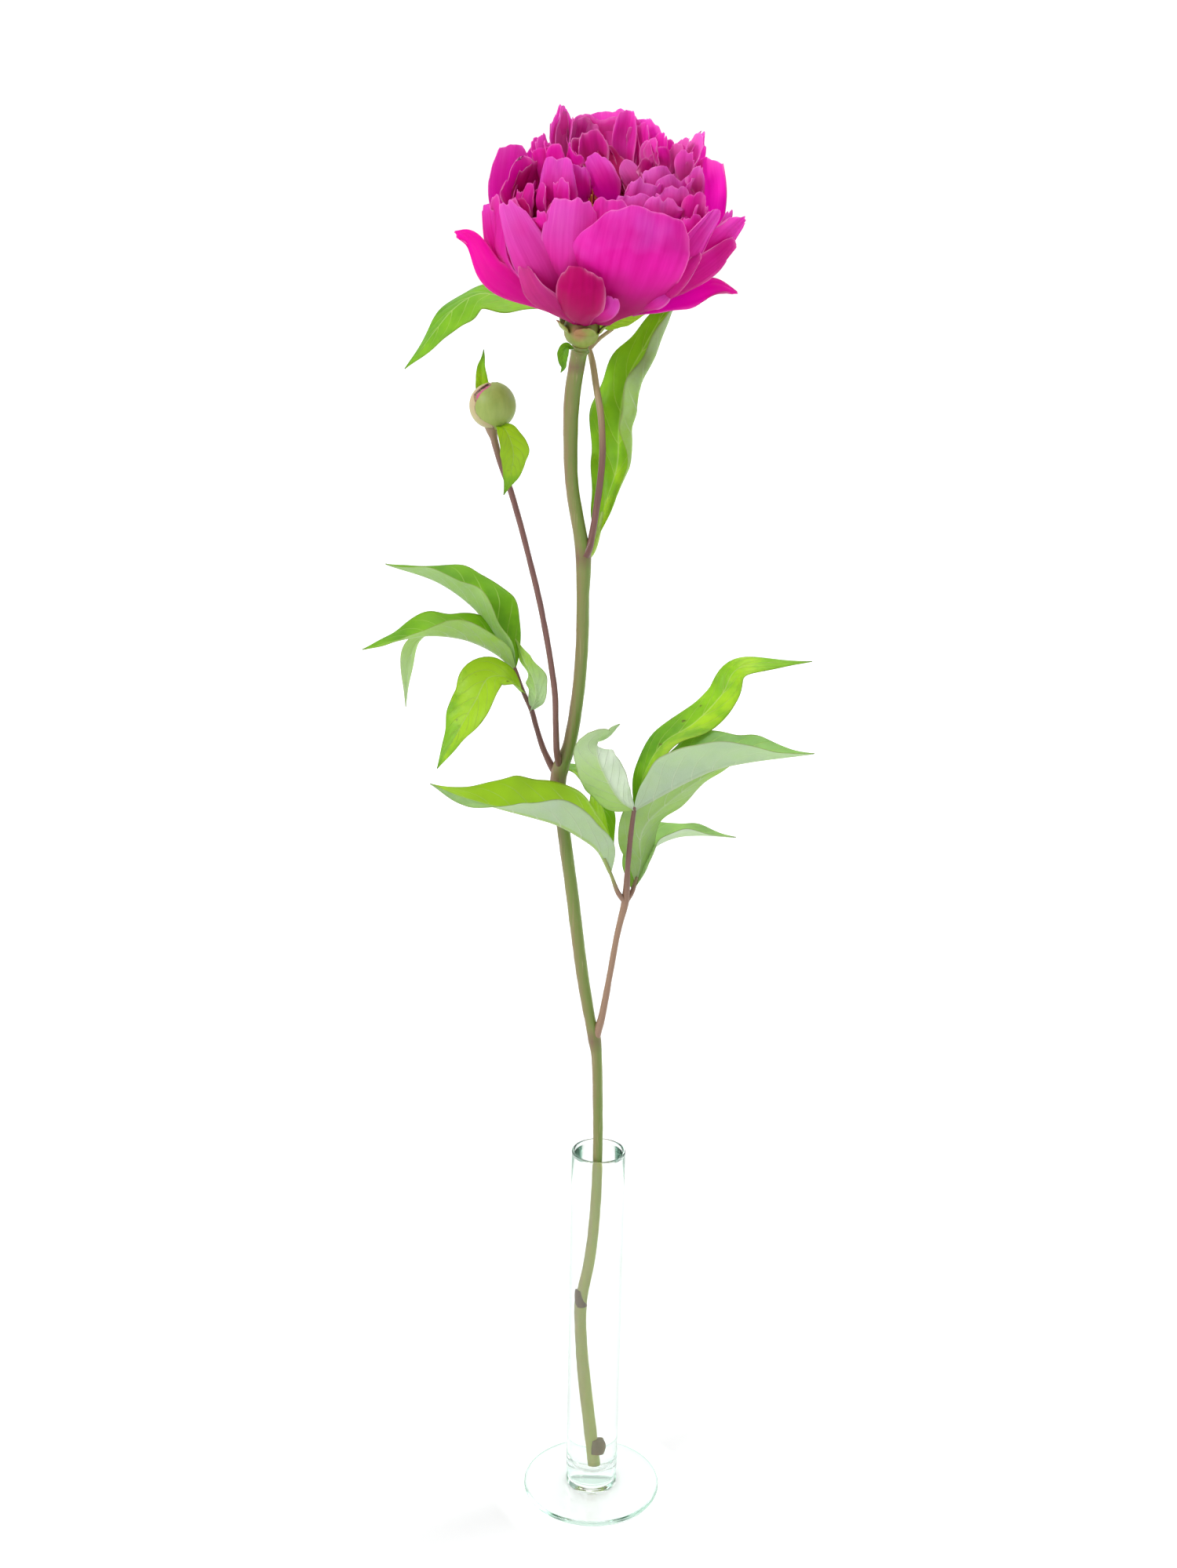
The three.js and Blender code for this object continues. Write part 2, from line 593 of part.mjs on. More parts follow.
// Repeatable small differences from petal to petal
function seeded(seed) {
  let state = seed;
  return () => {
    state = (state * 16807) % 2147483647;
    return state / 2147483647;
  };
}

function bloom() {
  const chance = seeded(20250);
  const core = turned([
    [0, 0.2], [5, 0.2], [CORE_RADIUS * 0.75, 5], [CORE_RADIUS, 13], [CORE_RADIUS * 0.95, CORE_HEIGHT - 8],
    [CORE_RADIUS * 0.5, CORE_HEIGHT], [0, CORE_HEIGHT],
  ], 14);
  const guards = GUARD_PETALS.map((shape, i) => petal({ root: [6, 4 + 0.8 * (i % 3)], ...shape }));
  const inner = INNER_RINGS.flatMap((ring) => Array.from({ length: ring.count }, (_, i) => petal({
    turn: ring.start + (360 * i) / ring.count + ring.drift * (2 * chance() - 1),
    root: [8, ring.root],
    belly: ring.belly,
    tip: [ring.tip[0] + ring.drift * (chance() - 0.5), ring.tip[1] + ring.drift * (2 * chance() - 1)],
    width: ring.width,
    notch: 0.05,
    ruffle: 0.8,
    cup: 1.15,
    rows: 5,
    roll: 3 * (chance() - 0.5),
  })));
  return largest(fuse([core, ...guards, ...inner]));
}

// Stamens: a small tuft of threads on the middle of the head
function stamens() {
  const base = CORE_HEIGHT + SEAT_GAP;
  const disc = turned([[0, base], [4, base], [4.4, base + 2.2], [0, base + 3.2]], 10);
  const threads = Array.from({ length: 11 }, (_, i) => {
    const turn = 2.4 * i;
    const out = 1 + 0.2 * i;
    const tall = 24 + 5 * Math.sin(3.1 * i);
    const at = (r, z) => [r * Math.cos(turn), r * Math.sin(turn), CORE_HEIGHT + z, 0.45];
    return stalk([at(out, 1), at(out + 0.8, tall / 2), at(out + 2.2, tall)], { sides: 3, step: 12 });
  });
  return largest(fuse([disc, ...threads]));
}

peony.add(head);
addMesh('glass_vase', vase(), GLASS);
addMesh('water', water(), WATER);
addMesh('main_stem', mainStem(), STEM_GREEN);
addMesh('left_leaf', leafOn([LEFT_STALK], LEFT_LEAFLETS), LEAF_GREEN);
addMesh('right_leaf', leafOn(RIGHT_STALKS, RIGHT_LEAFLETS), LEAF_GREEN);
addMesh('node_leaf', leafOn([], NODE_LEAFLETS), LEAF_GREEN);
addMesh('upper_right_leaf', leafOn([UPPER_RIGHT_STALK], UPPER_RIGHT_LEAFLETS), LEAF_GREEN);
addMesh('back_leaf', leafOn(BACK_STALKS, BACK_LEAFLETS), LEAF_GREEN);
addMesh('bud_stem', budStem(), SIDE_STEM);
addMesh('side_bud', sideBud(), BUD_GREEN);
addMesh('calyx', calyx(), CALYX_GREEN, head);
addMesh('bloom', bloom(), PETAL_MAGENTA, head);
addMesh('stamens', stamens(), STAMEN_YELLOW, head);

export default peony;
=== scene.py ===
import math

import bpy
import numpy as np
from mathutils import Matrix, Vector


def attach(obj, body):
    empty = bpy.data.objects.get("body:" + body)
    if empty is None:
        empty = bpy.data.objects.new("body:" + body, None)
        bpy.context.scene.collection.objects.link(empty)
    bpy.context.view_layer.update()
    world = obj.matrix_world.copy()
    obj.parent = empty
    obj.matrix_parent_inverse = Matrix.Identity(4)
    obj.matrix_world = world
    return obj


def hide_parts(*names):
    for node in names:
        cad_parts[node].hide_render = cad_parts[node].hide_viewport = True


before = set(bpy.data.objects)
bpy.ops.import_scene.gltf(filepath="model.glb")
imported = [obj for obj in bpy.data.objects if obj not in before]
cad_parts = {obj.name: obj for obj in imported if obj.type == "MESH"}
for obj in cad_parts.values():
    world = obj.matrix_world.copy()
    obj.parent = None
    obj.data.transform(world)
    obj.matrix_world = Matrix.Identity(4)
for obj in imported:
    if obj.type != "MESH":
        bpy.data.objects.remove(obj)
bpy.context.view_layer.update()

scene = bpy.context.scene
MM = 0.001


# Setting: a white table that runs into a white surround, with soft light from all sides and three broad
# lamps. The camera stands a little above the flower and looks slightly down.
def colour(red, green, blue):
    """The linear colour of a red, green and blue from 0 to 255."""
    parts = [part / 255 for part in (red, green, blue)]
    return tuple(p / 12.92 if p <= 0.04045 else ((p + 0.055) / 1.055) ** 2.4 for p in parts) + (1,)


def worked(operation, swapped=False):
    """A way of working with values that adds one Math node."""
    def result(*values):
        numbers = values[::-1] if swapped else values
        return values[0].wiring.node("ShaderNodeMath", dict(operation=operation), dict(enumerate(numbers)))
    return result


class Value:
    """What comes out of a node; if that is a number, it can be worked with like an ordinary one."""

    def __init__(self, wiring, socket):
        self.wiring, self.socket = wiring, socket

    __add__, __radd__ = worked("ADD"), worked("ADD", swapped=True)
    __sub__, __rsub__ = worked("SUBTRACT"), worked("SUBTRACT", swapped=True)
    __mul__, __rmul__ = worked("MULTIPLY"), worked("MULTIPLY", swapped=True)
    __truediv__, __rtruediv__ = worked("DIVIDE"), worked("DIVIDE", swapped=True)
    __pow__, __rpow__ = worked("POWER"), worked("POWER", swapped=True)
    __abs__, fract = worked("ABSOLUTE"), worked("FRACT")

    def clamped(self):
        return self.wiring.node("ShaderNodeMath", dict(operation="ADD", use_clamp=True), {0: self, 1: 0.0})

    def step(self, low, high):
        """Goes smoothly from 0 at low to 1 at high; low may be the greater one."""
        if low > high:
            return 1 - self.step(high, low)
        return self.wiring.node("ShaderNodeMapRange", dict(interpolation_type="SMOOTHSTEP"),
                                {"Value": self, "From Min": low, "From Max": high})


class Wiring:
    """The nodes of the surround, of a finish or of a growth, added one by one."""

    def __init__(self, tree):
        self.tree = tree

    def feed(self, socket, value):
        if isinstance(value, Value):
            self.tree.links.new(value.socket, socket)
        else:
            socket.default_value = value

    def node(self, kind, settings=None, inputs=None, output=0):
        """What comes out of a new node, which gets its settings first and then what goes into it."""
        made = self.tree.nodes.new(kind)
        for name, value in (settings or {}).items():
            setattr(made, name, value)
        for name, value in (inputs or {}).items():
            self.feed(made.inputs[name], value)
        return Value(self, made.outputs[output])

    def vector(self, x, y, z):
        return self.node("ShaderNodeCombineXYZ", inputs={0: x, 1: y, 2: z})


class Finish(Wiring):
    """One procedural material."""

    def __init__(self, name):
        self.material = bpy.data.materials.new(name)
        self.material.use_nodes = True
        super().__init__(self.material.node_tree)
        self.skin = self.tree.nodes["Principled BSDF"]
        self.out = self.tree.nodes["Material Output"]

    def attribute(self, name):
        return self.node("ShaderNodeAttribute", dict(attribute_name=name), output="Fac")

    def place(self):
        """Where a point is on the object."""
        return self.node("ShaderNodeTexCoord", output="Object")

    def height(self):
        return self.node("ShaderNodeSeparateXYZ", inputs={0: self.place()}, output="Z")

    def away_from(self, spot):
        """How far a point is from a spot on the object."""
        return self.node("ShaderNodeVectorMath", dict(operation="DISTANCE"), {0: self.place(), 1: spot},
                         output="Value")

    def stretched(self, x, y, z):
        return self.node("ShaderNodeVectorMath", dict(operation="MULTIPLY"), {0: self.place(), 1: (x, y, z)})

    def noise(self, where, scale, detail=2, roughness=0.5):
        return self.node("ShaderNodeTexNoise", inputs={
            "Vector": where, "Scale": scale, "Detail": detail, "Roughness": roughness})

    def mix(self, first, second, share, blend="MIX"):
        return self.node("ShaderNodeMix", dict(data_type="RGBA", blend_type=blend),
                         {0: share, 6: first, 7: second}, output=2)

    def layered(self, base, *layers):
        """A colour with others laid over it one after the other, each by its share."""
        for other, share in layers:
            base = self.mix(base, other, share)
        return base

    def bump(self, height, strength, depth):
        return self.node("ShaderNodeBump", inputs={
            "Height": height, "Strength": strength, "Distance": depth * MM})

    def paint(self, **inputs):
        for name, value in inputs.items():
            self.feed(self.skin.inputs[name.replace("_", " ")], value)

    def glowing_through(self, shade, share):
        """Lets light shine through, as a thin petal or leaf does."""
        through = self.node("ShaderNodeBsdfTranslucent", inputs={"Color": shade})
        both = self.node("ShaderNodeMixShader", inputs={
            0: share, 1: Value(self, self.skin.outputs[0]), 2: through})
        self.feed(self.out.inputs["Surface"], both)


CAMERA_PLACE = Matrix.Translation(Vector((-8.93, -882, 653.7)) * MM)
CAMERA_PITCH, CAMERA_ROLL = math.radians(16.3), math.radians(1.14)
scene.view_settings.view_transform = "Standard"
ahead = Vector((0, math.cos(CAMERA_PITCH), -math.sin(CAMERA_PITCH)))
level_up = Vector((0, math.sin(CAMERA_PITCH), math.cos(CAMERA_PITCH)))
right = math.cos(CAMERA_ROLL) * Vector((1, 0, 0)) + math.sin(CAMERA_ROLL) * level_up
up = math.cos(CAMERA_ROLL) * level_up - math.sin(CAMERA_ROLL) * Vector((1, 0, 0))
camera = bpy.data.objects.new("camera", bpy.data.cameras.new("camera"))
camera.data.lens, camera.data.sensor_width, camera.data.clip_end = 43.53, 36, 30
camera.matrix_world = CAMERA_PLACE @ Matrix((right, up, -ahead)).transposed().to_4x4()
scene.collection.objects.link(camera)
scene.camera = camera

surround = bpy.data.worlds.new("white surround")
surround.use_nodes = True
air, sky = Wiring(surround.node_tree), surround.node_tree.nodes["Background"]
towards = air.node("ShaderNodeSeparateXYZ", inputs={0: air.node("ShaderNodeTexCoord", output="Generated")},
                   output="Y")
air.feed(sky.inputs["Strength"], air.node("ShaderNodeMapRange", inputs={
    "Value": towards, "From Min": -0.3, "From Max": 0.6, "To Min": 0.58, "To Max": 1.08}))
air.feed(sky.inputs["Color"], (1, 1, 1, 1))
scene.world = surround


def lamp(name, place, target, size, power):
    """A round lamp that shines from a place towards a target."""
    light = bpy.data.lights.new(name, "AREA")
    light.shape, light.size, light.energy = "DISK", size, power
    holder = bpy.data.objects.new(name, light)
    aim = (Vector(place) - Vector(target)).to_track_quat("Z", "Y").to_matrix().to_4x4()
    holder.matrix_world = Matrix.Translation(Vector(place)) @ aim
    scene.collection.objects.link(holder)


lamp("left lamp", (-1.2, -1.0, 1.5), (0, 0, 0.5), 0.6, 17)
lamp("top lamp", (0.1, 0.1, 1.9), (0, 0, 0.6), 0.5, 8)
lamp("right lamp", (1.3, 0.7, 1.1), (0, 0, 0.45), 0.7, 9)
# Light goes in and out of glass, water and rim many times before it comes through.
scene.cycles.max_bounces = scene.cycles.transmission_bounces = scene.cycles.glossy_bounces = 200

# The table glows far away, where it runs into the surround, and close round the foot.
table_white = Finish("white table")
away = table_white.away_from((0, 0, 0))
lit = (away.step(0.3, 1.5) + away.step(0.056, 0.037)).clamped()
table_white.paint(
    Base_Color=table_white.mix(colour(241, 241, 241), colour(239, 240, 240),
                               table_white.noise(table_white.place(), 3)),
    Roughness=0.6, Emission_Color=table_white.mix((0, 0, 0, 1), (1, 1, 1, 1), lit), Emission_Strength=0.5)
table = bpy.data.meshes.new("white table")
table.from_pydata([(-12, -4, 0), (12, -4, 0), (12, 20, 0), (-12, 20, 0)], [], [(0, 1, 2, 3)])
table.materials.append(table_white.material)
floor = bpy.data.objects.new("white table", table)
floor.location.z = -0.3 * MM
scene.collection.objects.link(floor)


# Glass vase: one piece of clear glass, drawn as a straight tube with a thick round bottom and worked
# down into a flat round foot. The glass is faintly green where one looks along it. Where it is seen edge-on
# and along the rim of its foot, its green is deepened with painted shade.
VASE_HEIGHT, TUBE_RADIUS, TUBE_WALL, TUBE_BOTTOM, BOWL_FLOOR = 200, 13.8, 1.4, 8, 12
FOOT_RADIUS, FOOT_EDGE, FOOT_ROUND, WATER_LEVEL = 36.4, 3, 1.5, 198.6
WAIST_RADIUS, FILLET_REACH, FILLET_RISE = TUBE_RADIUS - 1.1, 5.4, 3
INNER_RADIUS, LIP_ROUND, STRAIGHT_FROM = TUBE_RADIUS - TUBE_WALL, TUBE_WALL / 2, 30


class Skin:
    """Collects points, faces and what is known about each point, and becomes one mesh."""

    def __init__(self):
        self.points, self.faces, self.known, self.count = [], [], {}, 0

    def add(self, points, faces, **known):
        points = np.asarray(points, float).reshape(-1, 3)
        self.points.append(points)
        self.faces.extend((np.asarray(face) + self.count).tolist() for face in faces)
        for name in {**self.known, **known}:
            filled = np.broadcast_to(np.asarray(known.get(name, 0.0), float), len(points))
            self.known.setdefault(name, [np.zeros(self.count)] if self.count else []).append(filled)
        self.count += len(points)

    def mesh(self, name, finish=None, turned=None):
        mesh = bpy.data.meshes.new(name)
        mesh.from_pydata((np.concatenate(self.points) * MM).tolist(), [], self.faces)
        for label, lists in self.known.items():
            mesh.attributes.new(label, "FLOAT", "POINT").data.foreach_set(
                "value", np.concatenate(lists).astype(np.float32))
        mesh.shade_smooth()
        if turned is not None:
            mesh.transform(turned)
        if finish is not None:
            mesh.materials.append(finish.material)
        return mesh


def spread(sheets):
    """One skin of several sheets of points, faces and what is known about the points."""
    skin = Skin()
    for points, faces, known in sheets:
        skin.add(points, faces, **known)
    return skin


def ring_faces(rings, sides):
    """Faces between rings of points from the lowest up, closed by point 0 below and point 1 above."""
    faces, last = [], 2 + (rings - 1) * sides
    for i in range(sides):
        j = (i + 1) % sides
        faces.append((0, 2 + j, 2 + i))
        faces += [(low + i, low + j, low + sides + j, low + sides + i) for low in range(2, last, sides)]
        faces.append((1, last + i, last + j))
    return faces


def lathe(outline, sides=112, **known):
    """A profile turned round the Z axis; its ends lie on the axis."""
    rings = outline[1:-1]
    points = [(0, 0, outline[0][1]), (0, 0, outline[-1][1])]
    points += [(r * math.cos(a), r * math.sin(a), z) for r, z in rings
               for a in np.linspace(0, 2 * np.pi, sides, endpoint=False)]
    return points, ring_faces(len(rings), sides), known


def arc(centre, radius, start, end, parts):
    """Points on a part of a circle in the plane of a profile, from one angle to another in degrees."""
    turns = np.radians(np.linspace(start, end, parts + 1))
    return [(centre[0] + radius * math.cos(t), centre[1] + radius * math.sin(t)) for t in turns]


def show(mesh, name, node):
    """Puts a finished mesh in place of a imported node."""
    piece = bpy.data.objects.new(name, mesh)
    scene.collection.objects.link(piece)
    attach(piece, "root")
    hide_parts(node)


glass = Finish("clear glass")
ripple = glass.noise(glass.stretched(90, 90, 25), 1)
# Painted shade: where the glass is seen edge-on, its green is deepened to a darker grey-green, less near the
# open top.
grazing_painted_shade = glass.node("ShaderNodeLayerWeight", inputs={"Blend": 0.5}, output="Facing").step(0.3, 0.95)
height = glass.height()
# Painted shade: a darker green band along the foot's rim, over the green of the thick glass there.
foot_rim_painted_shade = glass.away_from((0, 0, 0)).step((FOOT_RADIUS - 1.9) * MM, (FOOT_RADIUS - 0.2) * MM)
above_foot = height.step((FOOT_EDGE + 1) * MM, (FOOT_EDGE + 5) * MM)
rim_end = height.step((VASE_HEIGHT - 1.2) * MM, (VASE_HEIGHT - 0.4) * MM)
open_end = height.step((VASE_HEIGHT - 35) * MM, (VASE_HEIGHT - 10) * MM) * (1 - rim_end)
glass.paint(Base_Color=glass.layered(
    (0.99, 1, 0.995, 1), ((0.975, 0.995, 0.985, 1), ripple),
    ((0.46, 0.58, 0.54, 1), grazing_painted_shade * (1 - open_end * 0.85)),
    ((0.4, 0.66, 0.54, 1), foot_rim_painted_shade * (1 - above_foot) * 0.7)),
    Roughness=0.0, IOR=1.46, Transmission_Weight=1.0, Normal=glass.bump(ripple, 0.15, 0.05))
glass.feed(glass.out.inputs["Volume"], glass.node(
    "ShaderNodeVolumeAbsorption", inputs={"Color": (0.45, 0.82, 0.62, 1), "Density": 4.0}))

profile = [
    (0, 0), (FOOT_RADIUS / 2, 0), (FOOT_RADIUS - 3, 0), (FOOT_RADIUS - 1.6, 0),
    *arc((FOOT_RADIUS - FOOT_ROUND, FOOT_ROUND), FOOT_ROUND, -70, 80, 8),
    (FOOT_RADIUS * 0.8, FOOT_EDGE + 0.2), (FOOT_RADIUS * 0.62, FOOT_EDGE + 0.5),
    *((WAIST_RADIUS + FILLET_REACH * (1 - math.sin(t)), FOOT_EDGE + 1 + FILLET_RISE * (1 - math.cos(t)))
      for t in np.radians(np.linspace(10, 84, 9))),
    (TUBE_RADIUS - 1, TUBE_BOTTOM), (TUBE_RADIUS - 0.75, TUBE_BOTTOM + 1.5),
    (TUBE_RADIUS - 0.25, TUBE_BOTTOM + 4), (TUBE_RADIUS, TUBE_BOTTOM + 8),
    *((TUBE_RADIUS, z) for z in np.linspace(STRAIGHT_FROM, VASE_HEIGHT - 1.2, 8)),
    *arc((TUBE_RADIUS - LIP_ROUND, VASE_HEIGHT - LIP_ROUND), LIP_ROUND, 0, 180, 8),
    *((INNER_RADIUS, z) for z in np.linspace(VASE_HEIGHT - 1.4, STRAIGHT_FROM, 8)),
    *arc((0, BOWL_FLOOR + INNER_RADIUS), INNER_RADIUS, 0, -90, 14),
]
show(spread([lathe(profile)]).mesh("glass vase", glass), "clear_vase", "glass_vase")


# Water: fills the tube to just under its rim and climbs a hair's breadth up the glass. It overlaps the
# glass a little, so that no air lies between the two.
WATER_RADIUS, WATER_SURFACE = INNER_RADIUS + 0.04, WATER_LEVEL - 0.36
clear_water = Finish("clear water")
stir = clear_water.noise(clear_water.stretched(30, 30, 12), 1)
top = clear_water.height().step((WATER_LEVEL - 0.7) * MM, (WATER_LEVEL - 0.55) * MM)
clear_water.paint(Base_Color=clear_water.mix((1, 1, 1, 1), (0.985, 0.995, 0.99, 1), stir),
                  Roughness=0.0, IOR=1.33, Transmission_Weight=1.0, Alpha=1 - top * 0.85)
filled = [
    *arc((0, BOWL_FLOOR + INNER_RADIUS), WATER_RADIUS, -90, 0, 14),
    *((WATER_RADIUS, z) for z in np.linspace(STRAIGHT_FROM, WATER_LEVEL - 0.2, 8)),
    (WATER_RADIUS - 0.05, WATER_LEVEL), (WATER_RADIUS - 0.6, WATER_LEVEL - 0.25),
    (WATER_RADIUS - 2, WATER_LEVEL - 0.35),
    (WATER_RADIUS - 3, WATER_SURFACE), (WATER_RADIUS * 0.4, WATER_SURFACE), (0, WATER_SURFACE),
]
show(spread([lathe(filled)]).mesh("water", clear_water), "vase_water", "water")


# Stems: one round main stem, grown with swollen nodes, a broken side shoot and a small curled bract, and
# cut at its foot. The thin stalks of the leaves and the bud branch from its nodes.
class Path:
    """A smooth line through points, travelled evenly from 0 to 1. A fourth number is its thickness."""

    def __init__(self, points):
        given = np.array([point[:3] for point in points], float)
        ends = [2 * given[0] - given[1], *given, 2 * given[-1] - given[-2]]
        u = np.linspace(0, 1, 20, endpoint=False)[:, None]
        spots, turns = [], []
        for i in range(len(given) - 1):
            x0, x1, x2, x3 = ends[i:i + 4]
            d0, d1, d2 = (max(np.linalg.norm(b - a), 1e-6) ** 0.5 for a, b in ((x0, x1), (x1, x2), (x2, x3)))
            t1 = ((x1 - x0) / d0 - (x2 - x0) / (d0 + d1) + (x2 - x1) / d1) * d1
            t2 = ((x2 - x1) / d1 - (x3 - x1) / (d1 + d2) + (x3 - x2) / d2) * d1
            bend = -3 * x1 + 3 * x2 - 2 * t1 - t2
            spots.append(x1 + t1 * u + bend * u ** 2 + (2 * x1 - 2 * x2 + t1 + t2) * u ** 3)
            turns.append(i + u[:, 0])
        self.spots = np.vstack([*spots, given[-1:]])
        turns = np.append(np.concatenate(turns), len(given) - 1)
        steps = np.linalg.norm(np.diff(self.spots, axis=0), axis=1)
        self.reach = np.append(0, np.cumsum(steps)) / steps.sum()
        self.length = steps.sum()
        if len(points[0]) > 3:
            self.thick = np.interp(turns, range(len(points)), [point[3] for point in points])

    def at(self, t):
        return np.stack([np.interp(t, self.reach, self.spots[:, i]) for i in range(3)], -1)

    def ahead(self, t):
        step = self.at(np.minimum(t + 0.02, 1)) - self.at(np.maximum(t - 0.02, 0))
        return step / np.maximum(np.linalg.norm(step, axis=-1, keepdims=True), 1e-9)

    def thickness(self, t):
        return np.interp(t, self.reach, self.thick)


class Growth(Wiring):
    """A Geometry Nodes group that makes one mesh out of another, with named inputs for its sizes."""

    def __init__(self, name, *sizes):
        super().__init__(bpy.data.node_groups.new(name, "GeometryNodeTree"))
        for label, kind, value in (("Geometry", "Geometry", None), *sizes, ("Skin", "Material", None)):
            made = self.tree.interface.new_socket(label, in_out="INPUT", socket_type="NodeSocket" + kind)
            if value is not None:
                made.default_value = value
        self.tree.interface.new_socket("Geometry", in_out="OUTPUT", socket_type="NodeSocketGeometry")
        self.first = self.tree.nodes.new("NodeGroupInput")

    def given(self, name):
        return Value(self, self.first.outputs[name])

    def ending(self, shape):
        """Makes a shape's copies real, covers them with the skin and gives them out."""
        real = self.node("GeometryNodeRealizeInstances", inputs={0: shape})
        covered = self.node("GeometryNodeSetMaterial", inputs={0: real, "Material": self.given("Skin")})
        self.feed(self.tree.nodes.new("NodeGroupOutput").inputs[0], covered)

    def grow(self, start, **sizes):
        """The mesh that comes of a start."""
        holder = bpy.data.objects.new("growing", start)
        scene.collection.objects.link(holder)
        modifier = holder.modifiers.new("grow", "NODES")
        modifier.node_group = self.tree
        for socket in self.tree.interface.items_tree:
            if socket.item_type == "SOCKET" and socket.in_out == "INPUT" and socket.name in sizes:
                modifier[socket.identifier] = sizes[socket.name]
        bpy.context.view_layer.update()
        made = bpy.data.meshes.new_from_object(holder.evaluated_get(bpy.context.evaluated_depsgraph_get()))
        bpy.data.objects.remove(holder)
        return made


tubes = Growth("stems on paths", ("Sides", "Int", 20), ("Roundness seed", "Int", 7),
               ("Unevenness", "Float", 0.04))
line = tubes.node("GeometryNodeMeshToCurve", inputs={"Mesh": tubes.given("Geometry")})
ring = tubes.node("GeometryNodeCurvePrimitiveCircle", inputs={
    "Resolution": tubes.given("Sides"), "Radius": 1.0})
thick = tubes.node("GeometryNodeInputNamedAttribute", dict(data_type="FLOAT"), {"Name": "thick"})
tube = tubes.node("GeometryNodeCurveToMesh", inputs={
    "Curve": line, "Profile Curve": ring, "Scale": thick, "Fill Caps": True})
uneven = tubes.node("ShaderNodeTexNoise", dict(noise_dimensions="4D"), {
    "Vector": tubes.node("GeometryNodeInputPosition"), "W": tubes.given("Roundness seed"), "Scale": 160.0,
    "Detail": 1.0})
facing = tubes.node("GeometryNodeInputNormal")
shift = tubes.node("ShaderNodeVectorMath", dict(operation="SCALE"), {
    0: facing, "Scale": (uneven - 0.5) * tubes.given("Unevenness") * 0.01})
moved = tubes.node("GeometryNodeSetPosition", inputs={"Geometry": tube, "Offset": shift})
sided = tubes.node("GeometryNodeStoreNamedAttribute", dict(data_type="FLOAT", domain="POINT"), {
    "Geometry": moved, "Name": "sideways",
    "Value": tubes.node("ShaderNodeSeparateXYZ", inputs={0: facing}, output="X")})
tubes.ending(tubes.node("GeometryNodeSetShadeSmooth", inputs={0: sided}))


def stems(routes, finish, sides, step, torn=()):
    """One mesh of round stems along routes of [x, y, z, thickness]; torn says how brown each one is."""
    points, edges, thick, brown = [], [], [], []
    for i, route in enumerate(routes):
        path = Path(route)
        reach = np.linspace(0, 1, max(6, round(path.length / step)))
        edges += [(k, k + 1) for k in range(len(points), len(points) + len(reach) - 1)]
        points += (path.at(reach) * MM).tolist()
        thick += (path.thickness(reach) * MM).tolist()
        brown += [torn[i] if i < len(torn) else 0.0] * len(reach)
    lines = bpy.data.meshes.new("stem lines")
    lines.from_pydata(points, edges, [])
    for name, values in (("thick", thick), ("torn", brown)):
        lines.attributes.new(name, "FLOAT", "POINT").data.foreach_set("value", values)
    return tubes.grow(lines, Sides=sides, Skin=finish.material)


def joined(name, *meshes):
    """Several meshes as one."""
    holders = []
    for mesh in meshes:
        holders.append(bpy.data.objects.new(name, mesh))
        scene.collection.objects.link(holders[-1])
    with bpy.context.temp_override(active_object=holders[0], selected_editable_objects=holders):
        bpy.ops.object.join()
    mesh = holders[0].data
    mesh.name = name
    bpy.data.objects.remove(holders[0])
    return mesh


HEAD_BASE, KNOB_HEIGHT, SEAT_GAP = (-15.8, -11.5, 613.6), 10, 0.3
head = Matrix.Translation(HEAD_BASE) @ Matrix.Rotation(math.radians(4), 4, "Y") @ (
    Matrix.Rotation(math.radians(17), 4, "X"))
head_in_metres = head.copy()
head_in_metres.translation *= MM


def in_head(r, z):
    """A place beside and above the flower head's own base, which leans with the flower."""
    return list(head @ Vector((r, 0, z)))


STEM_ROUTE = [
    [1, 1, 13.7, 2.2], [-1.2, 0.3, 42, 2.35], [-3.7, -1, 70, 2.5], [-5.75, -2.6, 98, 2.55],
    [-6.1, -3, 113, 2.75], [-5.2, -3.4, 122, 2.4], [-3, -4.5, 139, 2.3], [-1.4, -6, 161, 2.3],
    [-0.55, -9, 194, 2.35], [-0.9, -11, 226, 2.5], [-2.2, -12, 258, 2.6], [-3.4, -12, 267, 3.3],
    [-5.8, -12, 277.5, 2.7], [-10.2, -11, 302, 3], [-16.3, -9, 346, 3.1], [-20.6, -8, 375, 3.1],
    [-23.6, -8, 399, 3.9], [-22.4, -8, 406, 4], [-18.6, -8, 417, 3.2], [-14.6, -8, 444, 3],
    [-13.2, -9, 470, 3], [-13.3, -10, 490, 3], [-13.4, -10, 508, 3.7], [-15.2, -9, 519, 3.1],
    [-19.2, -7.4, 540.5, 3], [-20.3, -5.6, 561.6, 3.3], [-20, -4.8, 579, 3.6],
    [*in_head(-0.8, -KNOB_HEIGHT - 9), 3.7], [*in_head(0, -KNOB_HEIGHT - 2 * SEAT_GAP), 3.8],
]
STUB_ROUTE = [[-5.8, -3.7, 113, 2.6325], [-6.95, -3.9, 118, 2.295], [-7.4, -3.9, 122, 1.62]]
CUT_KNOB = [[1.9, 0, 22, 2.52], [2.2, 0.3, 26.5, 3.12], [1.8, 0, 31, 2.34]]
SCAR_ROUTE = [[*in_head(-0.2, -KNOB_HEIGHT - 3.4), 3.6], [*in_head(0, -KNOB_HEIGHT - 2.5), 4.5],
              [*in_head(0.1, -KNOB_HEIGHT - 1.7), 3.7]]
NODE_LEVELS = (113, 6), (267, 7), (401, 7), (508, 6), (594, 4)

